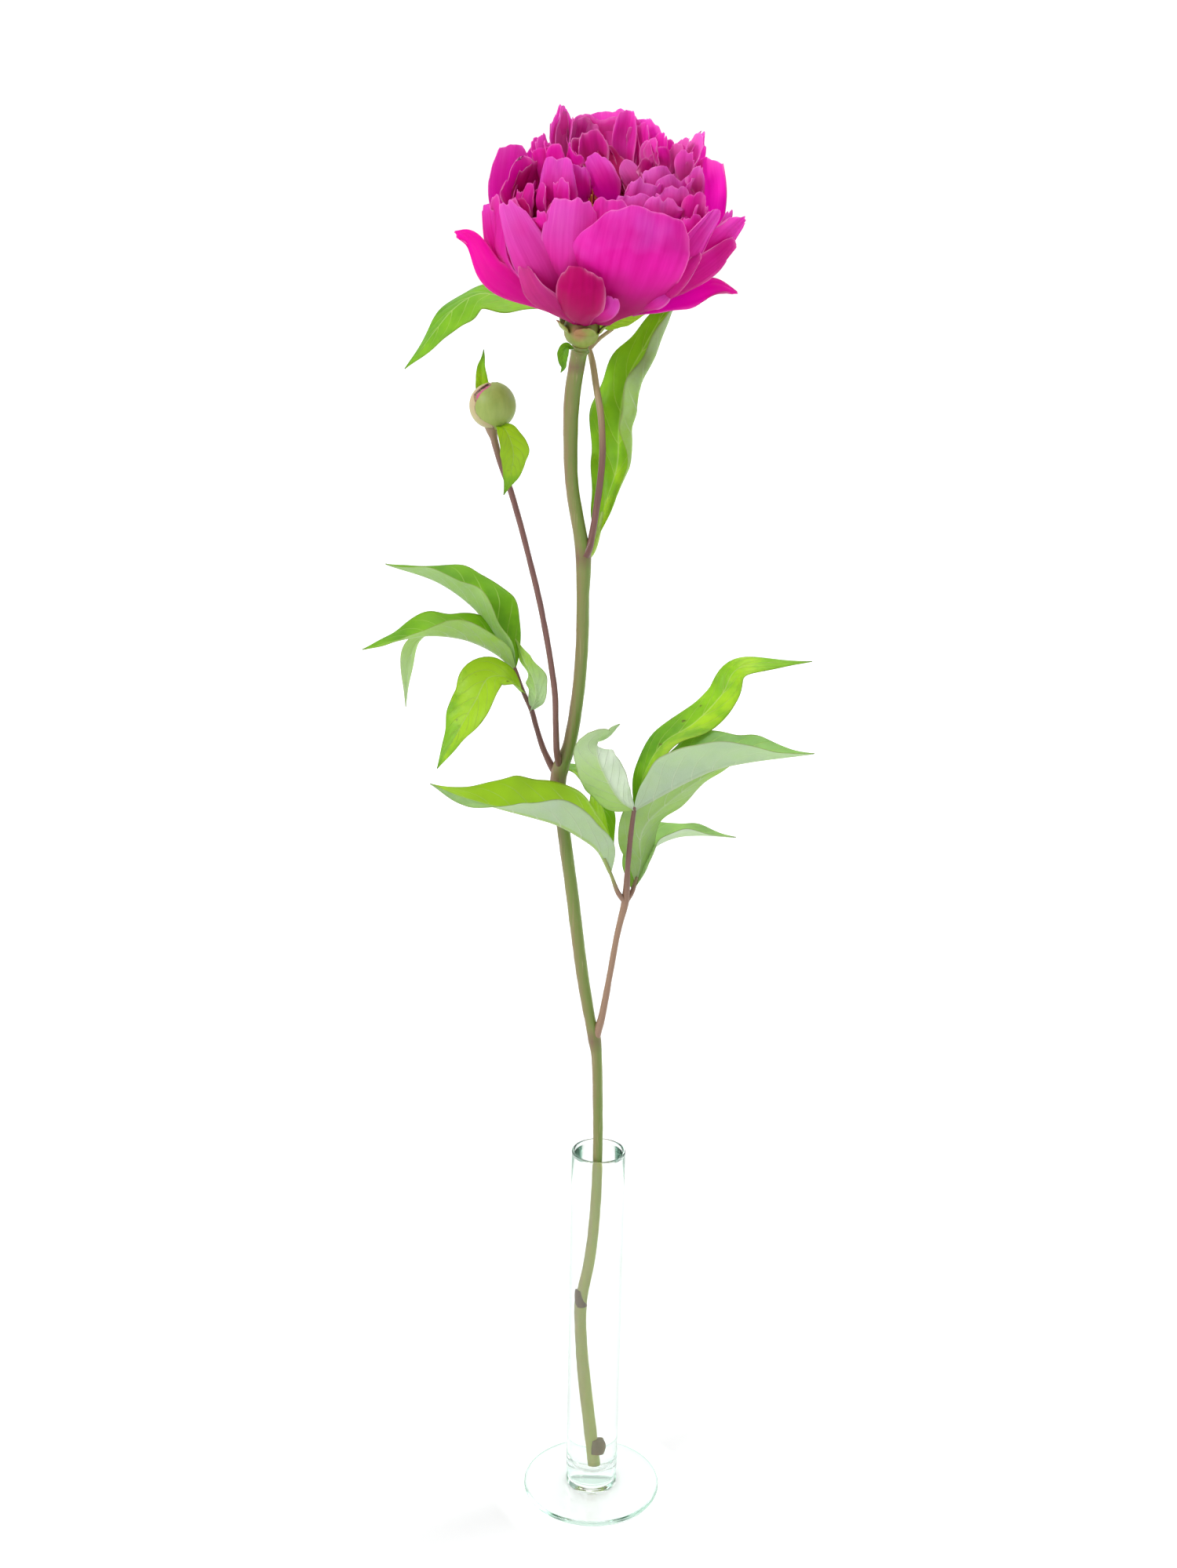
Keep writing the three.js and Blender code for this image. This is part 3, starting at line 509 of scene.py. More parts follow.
olive = Finish("olive stem")
streaks = olive.noise(olive.stretched(900, 900, 18), 1, 3, 0.6)
patches = olive.noise(olive.stretched(60, 60, 14), 1)
height, sideways = olive.height(), olive.attribute("sideways")
ruddy = ((streaks - 0.5) * 1.4 + (patches - 0.5) * 1.2 - sideways * 0.55 + 0.2).clamped()
joints = sum(1 - (abs(height - level * MM) / (reach * MM)).clamped() for level, reach in NODE_LEVELS)
# Painted reflection: below the water line the stem is painted paler and yellower, as it looks through the
# glass and water.
painted_reflection_under_water = olive.mix(colour(210, 226, 120), colour(218, 212, 146), ruddy)
broken = olive.mix(colour(84, 44, 52), colour(150, 120, 92), streaks)
olive.paint(
    Base_Color=olive.layered(
        colour(112, 134, 56), (colour(138, 112, 84), ruddy),
        (colour(170, 178, 118), streaks.step(0.6, 0.75) * 0.4),
        (colour(112, 62, 66), (joints * (streaks * 0.9 + 0.2)).clamped() * 0.75),
        (painted_reflection_under_water, height.step((WATER_LEVEL + 0.4) * MM, (WATER_LEVEL - 0.6) * MM) * 0.95),
        (broken, olive.attribute("torn"))),
    Roughness=0.42 + streaks * 0.15, Subsurface_Weight=0.15, Subsurface_Scale=0.002, Coat_Weight=0.05,
    Normal=olive.bump(streaks, 0.35, 0.12))

purple = Finish("purple side stems")
fine = purple.noise(purple.stretched(700, 700, 60), 1, 3, 0.6)
height, thin = purple.height(), purple.attribute("thick").step(1.2 * MM, 0.8 * MM)
purple.paint(
    Base_Color=purple.layered(
        colour(92, 58, 58), (colour(128, 88, 76), fine),
        (colour(186, 170, 120), height.step(0.545, 0.595) * 0.75),
        (colour(168, 138, 108), height.step(0.37, 0.33) * 0.6),
        (colour(142, 162, 82), thin * height.step(0.4, 0.37) * 0.8)),
    Roughness=0.4 + fine * 0.15, Coat_Weight=0.1, Normal=purple.bump(fine, 0.3, 0.06))


def sheet(place, across, rows, thickness, **known):
    """A thin closed blade. place(s, t) gives its middle, s from -1 to 1 across and t from root to tip.
    The side attribute is 0 on the face that looks along the blade's normal and 1 on the other."""
    s, t = np.meshgrid(np.linspace(-1, 1, across + 1), np.linspace(0, 1, rows + 1))
    spots = place(s, t)
    normal = np.cross(np.gradient(spots, axis=1), np.gradient(spots, axis=0))
    normal /= np.maximum(np.linalg.norm(normal, axis=-1, keepdims=True), 1e-9)
    half = (thickness(s, t) / 2)[..., None]
    points = np.vstack([(spots + normal * half).reshape(-1, 3), (spots - normal * half).reshape(-1, 3)])
    grid = np.arange(s.size).reshape(s.shape)
    a, b, c, d = (g.ravel() for g in (grid[:-1, :-1], grid[:-1, 1:], grid[1:, 1:], grid[1:, :-1]))
    faces = [*zip(a, b, c, d), *zip(a + s.size, d + s.size, c + s.size, b + s.size)]
    rim = [*grid[0, :-1], *grid[:-1, -1], *grid[-1, :0:-1], *grid[:0:-1, 0]]
    faces += [(here, here + s.size, following + s.size, following)
              for here, following in zip(rim, rim[1:] + rim[:1])]
    known = {name: np.tile(np.broadcast_to(value(s, t) if callable(value) else value, s.shape).ravel(), 2)
             for name, value in dict(known, across=s, along=t).items()}
    return points, faces, dict(known, side=np.repeat([0, 1], s.size))


def on_half(s, t, left, right):
    """Numbers given from root to tip for either half of a leaflet, read at a place on it."""
    return np.where(s < 0, *(np.interp(t, np.linspace(0, 1, len(half)), half) for half in (left, right)))


def halves(left, right=None):
    """A tone, or a share of painted whitish sheen, from root to tip for either half of a leaflet."""
    return lambda s, t: on_half(s, t, left, right or left)


def rolled_reach(share, lift, roll):
    """How far across and up a leaf half reaches at a share of its width, if its outer part rolls up."""
    parts, across, up = 10, 0, 0
    for step in (np.arange(parts) + 0.5) / parts:
        bend = lift + roll * np.clip((share * step - 0.5) / 0.3, 0, 1)
        across, up = across + np.cos(bend) / parts, up + np.sin(bend) / parts
    return share * across, share * up


def leaflet_sheet(rib, left, right=None, faces=((0, 0, 1),), waves=3, wave=1.2, blunt=1.15, bulge=0.8,
                  roll=((0, 0), (0, 0)), slim=((1, 1), (1, 1)), seed=0, **look):
    """A pointed leaflet on its midrib. Left and right are each half's width and, from root to tip, the
    degrees it is lifted by; faces are where its upper side looks at its root and its tip."""
    path = Path(rib)
    right = right or left
    upper = [np.array(faces[0], float), np.array(faces[-1], float)]
    phase = np.random.default_rng(seed).uniform(0, 6.28, 3)

    def greatest(s):
        return np.where(s < 0, left[0], right[0])

    def place(s, t):
        forward = path.ahead(t)
        sideways = np.cross(forward, upper[0] + (upper[1] - upper[0]) * t[..., None])
        sideways /= np.linalg.norm(sideways, axis=-1, keepdims=True)
        normal = np.cross(sideways, forward)
        outline = np.sin(np.pi * np.minimum(t, 0.999) ** 0.8) ** blunt
        edge = 1 + 0.02 * np.sin(23 * t + phase[0]) + 0.015 * np.sin(41 * t + phase[1])
        width = (greatest(s) * outline * edge + 0.15 + 0.35 * (1 - t)) * on_half(s, t, *slim)
        over, up = rolled_reach(np.abs(s), np.radians(on_half(s, t, left[1], right[1])),
                                np.radians(on_half(s, t, *roll)))
        ripple = wave * outline * s * s * np.sin(2 * np.pi * waves * t + np.where(s < 0, 0, 2.0))
        ripple = ripple + 0.35 * wave * outline * np.abs(s) ** 3 * np.sin(17 * t + phase[2] + (s < 0))
        veins = np.abs(np.sin(np.pi * (8.5 * t - 2 * np.abs(s) ** 1.3)))
        puff = bulge * outline * (veins ** 0.7 - 0.6) * np.abs(s) ** 0.5 * (1 - s * s)
        groove = -0.45 * np.exp(-(s * greatest(s) / 0.7) ** 2) * (1 - t) ** 0.4
        across = (np.sign(s) * width * over)[..., None]
        return path.at(t) + sideways * across + normal * (width * up + ripple + puff + groove)[..., None]

    def thickness(s, t):
        return 0.3 + 0.9 * (1 - 0.6 * t) * np.exp(-(s * greatest(s) / 0.55) ** 2)

    return sheet(place, across=22, rows=56, thickness=thickness, **look)


def leaf_finish():
    """Deep to yellowish green above with pale veins, matt grey-green beneath, thin enough to glow.
    Painted shade darkens the upper face towards its margins; painted whitish sheen lies on some parts.
    """
    made = Finish("green leaf")
    across, along, side, tone, rust, painted_sheen = (
        made.attribute(name) for name in ("across", "along", "side", "tone", "rust", "painted_sheen"))
    mottle = made.noise(made.place(), 260, 4, 0.6)
    broad = made.noise(made.place(), 70)
    rib = 1 - (abs(across) / 0.05).clamped()
    slant = (along * 8.5 - abs(across) ** 1.3 * 2).fract()
    vein = (abs(slant - 0.5) * 2).step(0.88, 1.0) * (1 - abs(across)).step(0.02, 0.3)
    net = made.node("ShaderNodeTexVoronoi", dict(feature="DISTANCE_TO_EDGE"), {
        "Vector": made.place(), "Scale": 620.0}).step(0.12, 0.0)
    tone = (tone + (broad - 0.5) * 0.9 + (mottle - 0.5) * 0.5).clamped()
    top = made.layered(
        colour(72, 138, 18), (colour(150, 204, 30), tone), (colour(192, 222, 40), tone.step(0.75, 1.0) * 0.6),
        (colour(196, 216, 130), rib * 0.85), (colour(196, 220, 112), vein * 0.7))
    under = made.layered(
        colour(186, 206, 178), (colour(170, 204, 84), (tone * 0.9 + mottle * 0.2 - 0.1).clamped()),
        (colour(144, 172, 112), net * 0.14), (colour(226, 232, 206), (rib * 0.7 + vein * 0.6).clamped()))
    # Painted shade: the upper face is darker green towards its margins and in broad patches.
    hollow = (abs(across).step(0.5, 1.0) * 0.7 + broad.step(0.62, 0.35) * 0.5).clamped()
    edge = abs(across).step(0.95, 1.0) * along.step(0.05, 0.3)
    spots = made.noise(made.place(), 150, 3, 0.6).step(0.66, 0.72)
    shade = made.layered(
        made.mix(top, under, side.step(0.3, 0.7)),
        # Painted sheen: a whitish reflection over the green, where a leaflet asks for it.
        (colour(240, 246, 238), painted_sheen * (0.9 + (mottle - 0.5) * 0.6)),
        (colour(52, 104, 22), hollow * (1 - side) * 0.22),
        # Painted sheen: whitish patches on the underside, fewer on yellower leaflets.
        (colour(218, 228, 212), broad.step(0.45, 0.62) * side * (1 - tone) * 0.45),
        (colour(128, 104, 60), edge * 0.45), (colour(86, 58, 32), (spots * rust).clamped()))
    relief = (rib + vein * 1.2) * (side * 2 - 1) + net * 0.15 + mottle * 0.3
    made.paint(Base_Color=shade, Roughness=0.36 + side * 0.25 + mottle * 0.1, Specular_IOR_Level=0.35,
               Normal=made.bump(relief, 0.7, 0.25))
    made.glowing_through((0.56, 0.82, 0.06, 1), 0.38 + (broad - 0.5) * 0.2)
    return made


leaf_green = leaf_finish()
STEM_BRACT = dict(
    rib=[[-19.5, -15.5, 602.6], [-22.6, -17, 603.2], [-24.1, -17.5, 600.3], [-24.2, -17.5, 596.9],
         [-23.8, -17, 594.5], [-25, -16.5, 592]],
    faces=[[0, -0.6, 0.8], [0.1, -1, 0]], left=(2.3, [20, 20]), wave=0, bulge=0.1, tone=0.2, rust=0.6)
bract = spread([leaflet_sheet(**STEM_BRACT)]).mesh("stem bract", leaf_green)
trunk = stems([STEM_ROUTE, STUB_ROUTE, CUT_KNOB, SCAR_ROUTE], olive, sides=28, step=1.6,
              torn=(0, 0.85, 0.8, 0))
show(joined("main stem", trunk, bract), "olive_stem", "main_stem")


# Leaves: each is divided into pointed leaflets on a thin purple-brown stalk. A leaflet folds along its
# midrib, so that its pale underside shows on one half and its bright upper face on the other.
def leaf(name, node, stalks, leaflets, seed, stalk_finish=purple):
    """A leaf, each of whose leaflets gets a seed of its own."""
    made = spread(leaflet_sheet(seed=seed + i, **leaflet) for i, leaflet in enumerate(leaflets)).mesh(
        name, leaf_green)
    if stalks:
        made = joined(name, made, stems(stalks, stalk_finish, sides=14, step=2))
    show(made, name, node)


LEFT_STALK = [
    [-23.5, -6.4, 400.6, 2], [-27.2, -6, 406.8, 1.7], [-30.8, -6, 414.4, 1.4], [-34.6, -5, 425.8, 1.3],
    [-36.9, -4, 433.6, 1.3], [-40.8, -3, 441.7, 1.1], [-44.3, -1, 450.4, 1], [-46.3, 0, 456, 0.8],
]
LEFT_LEAFLETS = [
    dict(rib=[[-45, -0.4, 452.5], [-52, 2, 464], [-59, 5, 473.6], [-66.6, 8, 481.5], [-82.6, 12, 491.4],
              [-108, 17, 498.4]],
         left=(11, [70, 64, 60, 50, 30]), right=(18, [50, 46, 40, 25, 10]),
         tone=halves([0.35, 0.7, 0.5, 0.3], [0.2, 0.25, 0.5])),
    dict(rib=[[-45, -1, 452.5], [-53, -3, 460], [-62.4, -5, 465.4], [-72, -7, 468.6], [-88, -9, 469.5],
              [-116, -13, 463]],
         left=(11, [60, 58, 48, 10, -8]), right=(15, [45, 45, 40, 30, 20]),
         tone=halves([0.8, 0.8, 0.6], [0.3, 0.5, 0.2])),
    dict(rib=[[-45.6, 0.6, 453], [-55, 8, 462], [-71, 14, 466.5], [-86, 16, 466], [-94, 17, 460],
              [-98, 18, 446], [-99, 18, 428]],
         faces=[[0, 0, 1], [-0.8, 0.6, 0.1]], left=(8, [20, 20, 15, 10, 10]),
         tone=1.5, painted_sheen=halves([0, 0, 0.8])),
    dict(rib=[[-40, -3, 441], [-49, -9, 450], [-57, -14, 450.5], [-62.2, -20, 441.6], [-67.4, -24, 432.7],
              [-79.8, -30, 410.5]],
         faces=[[0, -0.4, 1], [-0.5, -0.8, 0.4]],
         left=(11, [20, 18, 12, 8, 5]), right=(12, [25, 20, 12, 8, 5]),
         tone=halves([1.3, 1.3, 1.2, 0.6], [1.2, 1.2, 0.8, 0.2]), rust=1.0),
    dict(rib=[[-37, -4.4, 433], [-34.3, -8, 441.6], [-35.9, -6, 449.4], [-40.7, 0, 457], [-45, 4, 466]],
         faces=[[0.3, 0.9, 0.3], [0.5, 0.8, 0.3]], left=(5.5, [10, 15, 10]),
         tone=halves([0.0, 0.2, 1.0, 1.0], [0.0, 0.5, 1.0, 1.0])),
]
leaf("left_leaflets", "left_leaf", [LEFT_STALK], LEFT_LEAFLETS, 10)

RIGHT_STALKS = [
    [[-3.4, -12, 267, 2.6], [-0.4, -14, 278.5, 1.8], [3, -15, 300, 1.5], [6.6, -16, 325, 1.5],
     [10, -17, 342.4, 1.9], [10.7, -18, 359.6, 1.3], [12.1, -18, 380, 1.2], [13.3, -18, 390.4, 1.1]],
    [[10, -17, 341.6, 1.4], [6.5, -19, 346.7, 1.2], [3.2, -21, 355.7, 0.9], [-0.7, -22, 365.5, 0.8]],
    [[10, -17, 341.6, 1.4], [13, -15, 345.8, 1.2], [15.5, -13, 353.2, 1]],
]
RIGHT_LEAFLETS = [
    dict(rib=[[2.4, -21.2, 358], [-3.8, -23, 370], [-12.2, -25, 377], [-23.4, -28, 384], [-36.3, -31, 388.7],
              [-47.6, -34, 392.5], [-69.3, -38, 400], [-82.2, -41, 406.4]],
         left=(15, [75, 66, 55, 40, -20, -40]), right=(22, [50, 50, 46, 44, 25, 10]),
         tone=halves([0.3, 0.3, 0.2], [1.2, 1.4, 1.2, 0.9]), painted_sheen=halves([0.15, 0.3, 0.4], [0, 0])),
    dict(rib=[[12.6, -18.6, 389], [6.1, -23, 395], [-0.5, -26, 406.4], [-4.8, -26, 416.3], [-5.4, -22, 423],
              [-1, -16, 424], [5.4, -11, 429]],
         faces=[[-0.2, 0.95, 0.25], [-0.2, 0.6, 0.7]], blunt=0.9,
         left=(9, [15, 15, 10, 5]), right=(12, [15, 15, 10, 5]),
         tone=halves([0.1, 0.0, 0.1], [1.0, 0.9, 0.6]), painted_sheen=halves([1.15, 1.1, 1.1], [0.15, 0.3, 0.8])),
    dict(rib=[[13.3, -17.6, 389], [17.8, -14, 406], [26.2, -10, 419.5], [41, -4, 428.3], [54, 2, 441],
              [61.4, 6, 453], [97.6, 12, 456]],
         faces=[[-0.5, -0.4, 0.8], [0, -0.3, 1]],
         left=(10, [15, 10, 5, 5, 0]), right=(11, [15, 10, 0, -10, -20]),
         tone=halves([0.25, 0.2, 0.7, 0.9, 0.6], [0.6, 0.95, 0.9, 0.7]), rust=1.0),
    dict(rib=[[13.3, -18.6, 389.4], [24.2, -22, 397], [38, -25, 406], [51.5, -27, 412.8], [65.3, -28, 416.4],
              [96.2, -28, 421]],
         left=(22, [50, 48, 42, 35, 15]), right=(20, [70, 64, 56, 40, 20]),
         tone=halves([0.1, 0.05, 0.1], [0.1, 0.05, 0.2]), painted_sheen=0.2),
    dict(rib=[[15, -13.4, 351], [16.8, -12, 361.7], [16.2, -11, 371.7], [19.4, -10, 380], [28.6, -8, 389],
              [42, -5, 399], [67, 0, 413]],
         faces=[[-0.4, 0.8, 0.4], [-0.2, 0.8, 0.5]],
         left=(12, [10, 15, 15, 10]), right=(13, [10, 15, 15, 10]),
         tone=halves([0.7, 0.8]), painted_sheen=0.1),
    dict(rib=[[13.6, -14.4, 347], [16.7, -6, 356], [23.6, 2, 363.6], [34, 6, 367.8], [45.7, 8, 368.6],
              [64.4, 10, 367]],
         left=(13, [30, 30, 20, 10]), right=(13, [40, 40, 30, 10]),
         tone=halves([0.5, 0.3], [0.2, 0.1]), painted_sheen=halves([0.15, 0.3], [0.6, 0.6])),
]
leaf("right_leaflets", "right_leaf", RIGHT_STALKS, RIGHT_LEAFLETS, 30)

HANGING_LEAFLET = dict(
    rib=[[-21, -7.6, 406.5], [-15, -2, 402], [-8, 2, 394], [-1.8, 4, 382.6], [1.5, 4, 369.8], [4, 3, 358]],
    faces=[[0.2, -0.3, 1], [0.5, -0.8, 0.4]], left=(7, [15, 10, 5]), tone=halves([0.3, 0.4], [0.9, 1.0]))
leaf("hanging_leaflet", "node_leaf", [], [HANGING_LEAFLET], 50)

UPPER_RIGHT_STALK = [
    [-12.6, -7.6, 507, 2], [-9.4, -6.4, 510.6, 1.6], [-6.9, -5.4, 518, 1.2], [-4.9, -2.6, 528, 0.9],
]
UPPER_RIGHT_LEAFLET = dict(
    rib=[[-7.2, -5.6, 517], [-4.9, -2.6, 528], [1.5, 3, 549], [2, 7, 567], [5, 9, 587], [13, 10.6, 603],
         [22, 12, 619], [31, 13, 632]],
    faces=[[-0.35, -0.9, 0.2], [-0.5, -0.8, 0.3]], waves=5, wave=2.4, bulge=2.0,
    left=(13.5, [10, 10, 10, 5]), right=(21, [10, 20, 26, 12, 5]), roll=((0, 0, 0), (0, 70, 150, 140, 60)),
    slim=((1, 1), (0.5, 0.6, 1.0, 1.2, 1.2)), tone=halves([0.7, 0.6, 0.3], [0.9, 0.8, 0.2]))
leaf("upper_leaflet", "upper_right_leaf", [UPPER_RIGHT_STALK], [UPPER_RIGHT_LEAFLET], 60, leaf_green)

BACK_STALKS = [
    [[-12.8, -11.6, 508.6, 2.24], [-10.6, -11, 513.4, 1.82], [-9.7, -10.4, 517.6, 1.54],
     [-7.6, -9.4, 532, 1.54], [-5.6, -8.6, 553, 1.54], [-6.3, -6, 570, 1.54], [-8.8, -1.6, 584, 1.54],
     [-12.2, 3.6, 600, 1.4], [-17.4, 10, 609.4, 1.4], [-25, 18, 616, 1.26], [-33, 22, 620, 1.12]],
    [[-12.6, 4.2, 601, 0.9], [-8.4, 5.6, 605.6, 0.9], [-2, 5, 610.5, 0.8]],
]
BACK_LEAFLETS = [
    dict(rib=[[-30, 22, 618.8], [-47.9, 24, 622], [-64.3, 24, 624], [-75, 22, 617.8], [-83.5, 19, 608],
              [-91, 17, 598], [-98, 16, 590]],
         faces=[[0, -0.5, 0.85], [-0.3, -0.6, 0.7]],
         left=(14, [10, 5, 0, 0]), right=(11, [-10, -15, -20, -10]),
         tone=halves([0.6, 0.4], [0.3, 0.2])),
    dict(rib=[[-13, 3, 612], [-7, -4, 613.6], [0, -9, 615.4], [8, -12, 618], [17.2, -13, 621.6]],
         faces=[[0, -0.8, -0.6]], left=(4.6, [5, 5]), wave=0.5,
         tone=halves([0.9, 1.2, 1.2], [1.0, 1.4, 1.2]), rust=0.8),
]
leaf("back_leaflets", "back_leaf", BACK_STALKS, BACK_LEAFLETS, 70)


# Side bud: a round bud still shut in its sepals, which overlap like bowls, with two narrow bracts
# under it. Petals show as a magenta seam where the sepals part. It sits on its own thin stem.
BUD_CENTRE, BUD_RADIUS = np.array([-55.9, -12, 576.5]), 10.2
BUD_STALK = [
    [-22.6, -9.4, 406.5, 1.8], [-24.2, -12.4, 414, 1.56], [-25, -13.6, 430, 1.44], [-25.6, -14, 444, 1.44],
    [-32, -15, 482, 1.38], [-37.7, -15, 505.6, 1.38], [-46.3, -13, 535.8, 1.38], [-51.9, -12, 551, 1.44],
    [-55, -12, 562, 1.68], [-55.7, -12, 565.2, 2.76], [-55.9, -12, 567.4, 3.6],
]
BUD_BRACTS = [
    dict(rib=[[-59, -1, 570.9], [-60.2, -2, 579.8], [-61.1, -4.5, 588], [-61.1, -7, 593.4], [-60.3, -8, 597],
              [-59.9, -9, 601]],
         faces=[[0, -1, 0.2], [0.1, -1, 0.1]], left=(2.8, [15, 15]), wave=0.3, bulge=0.1,
         tone=halves([1.1, 1.1, 1.0, 0]), rust=0.2),
    dict(rib=[[-53.4, -15.8, 568], [-49.5, -19.5, 566.6], [-45.8, -22, 557], [-47.2, -21, 546],
              [-50, -20, 537.4]],
         faces=[[0, -0.4, 1], [0.7, -0.7, 0.1]], left=(7, [10, 10]), wave=0.6, bulge=0.3,
         tone=halves([1.5, 1.5, 0.2]), rust=0.8),
]
# Where the edges of each sepal are, in degrees round the bud, at tilts from the bud's top down
SEPAL_TILTS = (0, 30, 60, 90, 120, 140, 180)
BUD_SEPALS = [
    dict(left=(120, 100, 80, 70, 60, 60, 60), right=(300, 300, 300, 290, 290, 290, 290)),
    dict(left=(190, 200, 200, 195, 190, 190, 190), right=(330, 318, 300, 330, 350, 380, 380)),
    dict(left=(-20, -8, -40, -46, -34, -4, 30), right=(80, 96, 130, 150, 150, 150, 150)),
]
show(stems([BUD_STALK], purple, sides=16, step=1.5), "bud_stalk", "bud_stem")

bud = Finish("bud sepals")
layer, verge = bud.attribute("layer"), bud.attribute("verge")
fleck = bud.noise(bud.stretched(420, 420, 90), 1, 3, 0.6)
soft = bud.noise(bud.place(), 110)
petal_pink = bud.mix(colour(168, 40, 100), colour(206, 110, 150), fleck)
green = bud.mix(colour(112, 136, 52), colour(164, 178, 92), fleck * 0.6 + soft * 0.3)
pinkish = bud.mix(colour(184, 152, 128), colour(168, 172, 108), soft)
bud.paint(
    Base_Color=bud.layered(
        petal_pink, (green, layer.step(0.4, 0.6)),
        (pinkish, layer.step(1.4, 1.6) * (1 - layer.step(2.4, 2.6))),
        # Near a sepal's edge: a ruddy margin, then a dark line that is partly the sepal's own dark edge and
        # partly painted shadow of the step down to the sepal beneath.
        (colour(156, 88, 92), verge.step(0.3, 0.7) * 0.7),
        (colour(52, 26, 30), verge.step(0.6, 0.85) * (fleck + 0.4).clamped() * 0.95)),
    Roughness=0.42 + fleck * 0.15, Subsurface_Weight=0.1, Subsurface_Scale=0.002,
    Normal=bud.bump(fleck, 0.3, 0.1))


def round_bud(rings=84, sides=120):
    """A ball of overlapping sepals. Each point knows the layer it is on and its closeness to an edge."""
    tilt, turn = np.meshgrid(np.linspace(np.pi, 0, rings + 1)[1:-1],
                             np.linspace(0, 2 * np.pi, sides, endpoint=False), indexing="ij")
    aim = np.stack([np.sin(tilt) * np.sin(turn), -np.sin(tilt) * np.cos(turn), np.cos(tilt)], -1)
    relief, layer, verge = np.zeros((3, *tilt.shape))
    for i, sepal in enumerate(BUD_SEPALS):
        left, right = (np.interp(np.degrees(tilt), SEPAL_TILTS, sepal[name]) for name in ("left", "right"))
        left = left + 2.5 * np.sin(5 * tilt + i) + 1.2 * np.sin(13 * tilt)
        off_middle = np.abs((np.degrees(turn) - (left + right) / 2 + 180) % 360 - 180)
        inside = ((right - left) / 2 - off_middle) * np.sin(tilt) * (tilt > 0.2)
        cover = np.clip(inside / 2.5, 0, 1)
        relief = np.where(inside > 0, relief * (1 - cover) + 0.55 * (i + 1) * cover, relief)
        layer = np.where(inside > 0, i + 1, layer)
        verge = np.where(inside > 0, np.clip(1 - inside / 9, 0, 1), verge)
    spots = (BUD_CENTRE + aim * (BUD_RADIUS - 1 + relief)[..., None]).reshape(-1, 3)
    ends = BUD_CENTRE + np.array([[0, 0, 0.9 - BUD_RADIUS], [0, 0, BUD_RADIUS - 0.9]])
    return (np.vstack([ends, spots]), ring_faces(len(tilt), sides),
            dict(layer=np.append([3, 0], layer), verge=np.append([0, 0], verge)))


ball = spread([round_bud()]).mesh("round bud", bud)
bracts = spread(leaflet_sheet(**bract) for bract in BUD_BRACTS).mesh("bud bracts", leaf_green)
show(joined("side bud", ball, bracts), "round_bud", "side_bud")


# Calyx: the green knob under the flower with five cupped sepals, grown in one with the stem's end.
# The knob has a ruddy patch in front.
calyx_green = Finish("green calyx")
blotch = calyx_green.noise(calyx_green.place(), 90, 3, 0.6)
grain = calyx_green.noise(calyx_green.stretched(500, 500, 120), 1, 3)
near = calyx_green.away_from((-0.0175, -0.0195, 0.6096)).step(0.006, 0.002)
ruddy = (blotch.step(0.5, 0.66) + near * (blotch + 0.5)).clamped()
calyx_green.paint(
    Base_Color=calyx_green.layered(
        colour(112, 132, 44), (colour(158, 170, 84), grain), (colour(170, 104, 82), ruddy * 0.75)),
    Roughness=0.45 + grain * 0.1, Subsurface_Weight=0.1, Subsurface_Scale=0.002,
    Normal=calyx_green.bump(grain, 0.3, 0.1))


def petal_blade(place, across, rows, width, length, edge, seed, thick=0.42, easing=1, **look):
    """The sheet of a petal, which thins towards its tip. Its rim attribute falls from the brightness of
    the edge to 0 within a few of its depths, and its seed attribute is a number of its own."""
    depth, brightness = edge

    def rim(column, t):
        to_side = (1 - np.abs(np.sin(column * np.pi / 2))) * width
        to_top = (1 - t) ** easing * length
        return np.exp(-np.minimum(to_side, to_top) / depth) * brightness

    return sheet(place, across, rows, lambda column, t: thick * (1 - 0.45 * t), rim=rim,
                 seed=(seed * 0.617) % 1, **look)


def petal_sheet(turn, line, width, across, rows, cup=1, notch=0.02, ruffle=0.5, crown=0.34, seed=0, **look):
    """A cupped petal on a middle line of [distance from the axis, height], at a turn round the axis."""
    path = Path([[r, 0, z] for r, z in line])
    hug = path.spots[:, 0].max() / cup
    spin = math.radians(turn)
    phase = np.random.default_rng(seed).uniform(0, 6.28, 5)

    def place(column, t):
        s = np.sin(column * np.pi / 2)
        bitten = notch * (1 - s * s) ** 3 + 0.016 * np.sin(7 * column + phase[0])
        bitten = bitten + 0.01 * np.sin(17 * column + phase[1])
        spot = path.at(t * (1 - crown + crown * np.cos(column * np.pi / 2) - bitten))
        bend = s * width * (0.1 + 0.9 * np.sin(np.pi * 0.68 * t) ** 1.2) / hug
        ripple = ruffle * t * (0.25 + s * s) * np.sin(7 * t + 3 * s + spin * 5)
        ripple = ripple + 0.5 * ruffle * t ** 2 * np.sin(6 * column + phase[2]) * np.cos(4 * t + phase[3])
        out = spot[..., 0] - hug * (1 - np.cos(bend)) + ripple
        side = hug * np.sin(bend)
        up = spot[..., 2] + 0.3 * ruffle * np.sin(9 * s + phase[4]) * t
        return np.stack([out * math.sin(spin) + side * math.cos(spin),
                         -out * math.cos(spin) + side * math.sin(spin), up], -1)

    return petal_blade(place, across, rows, width, path.length, (0.7, 0.45), seed, **look)


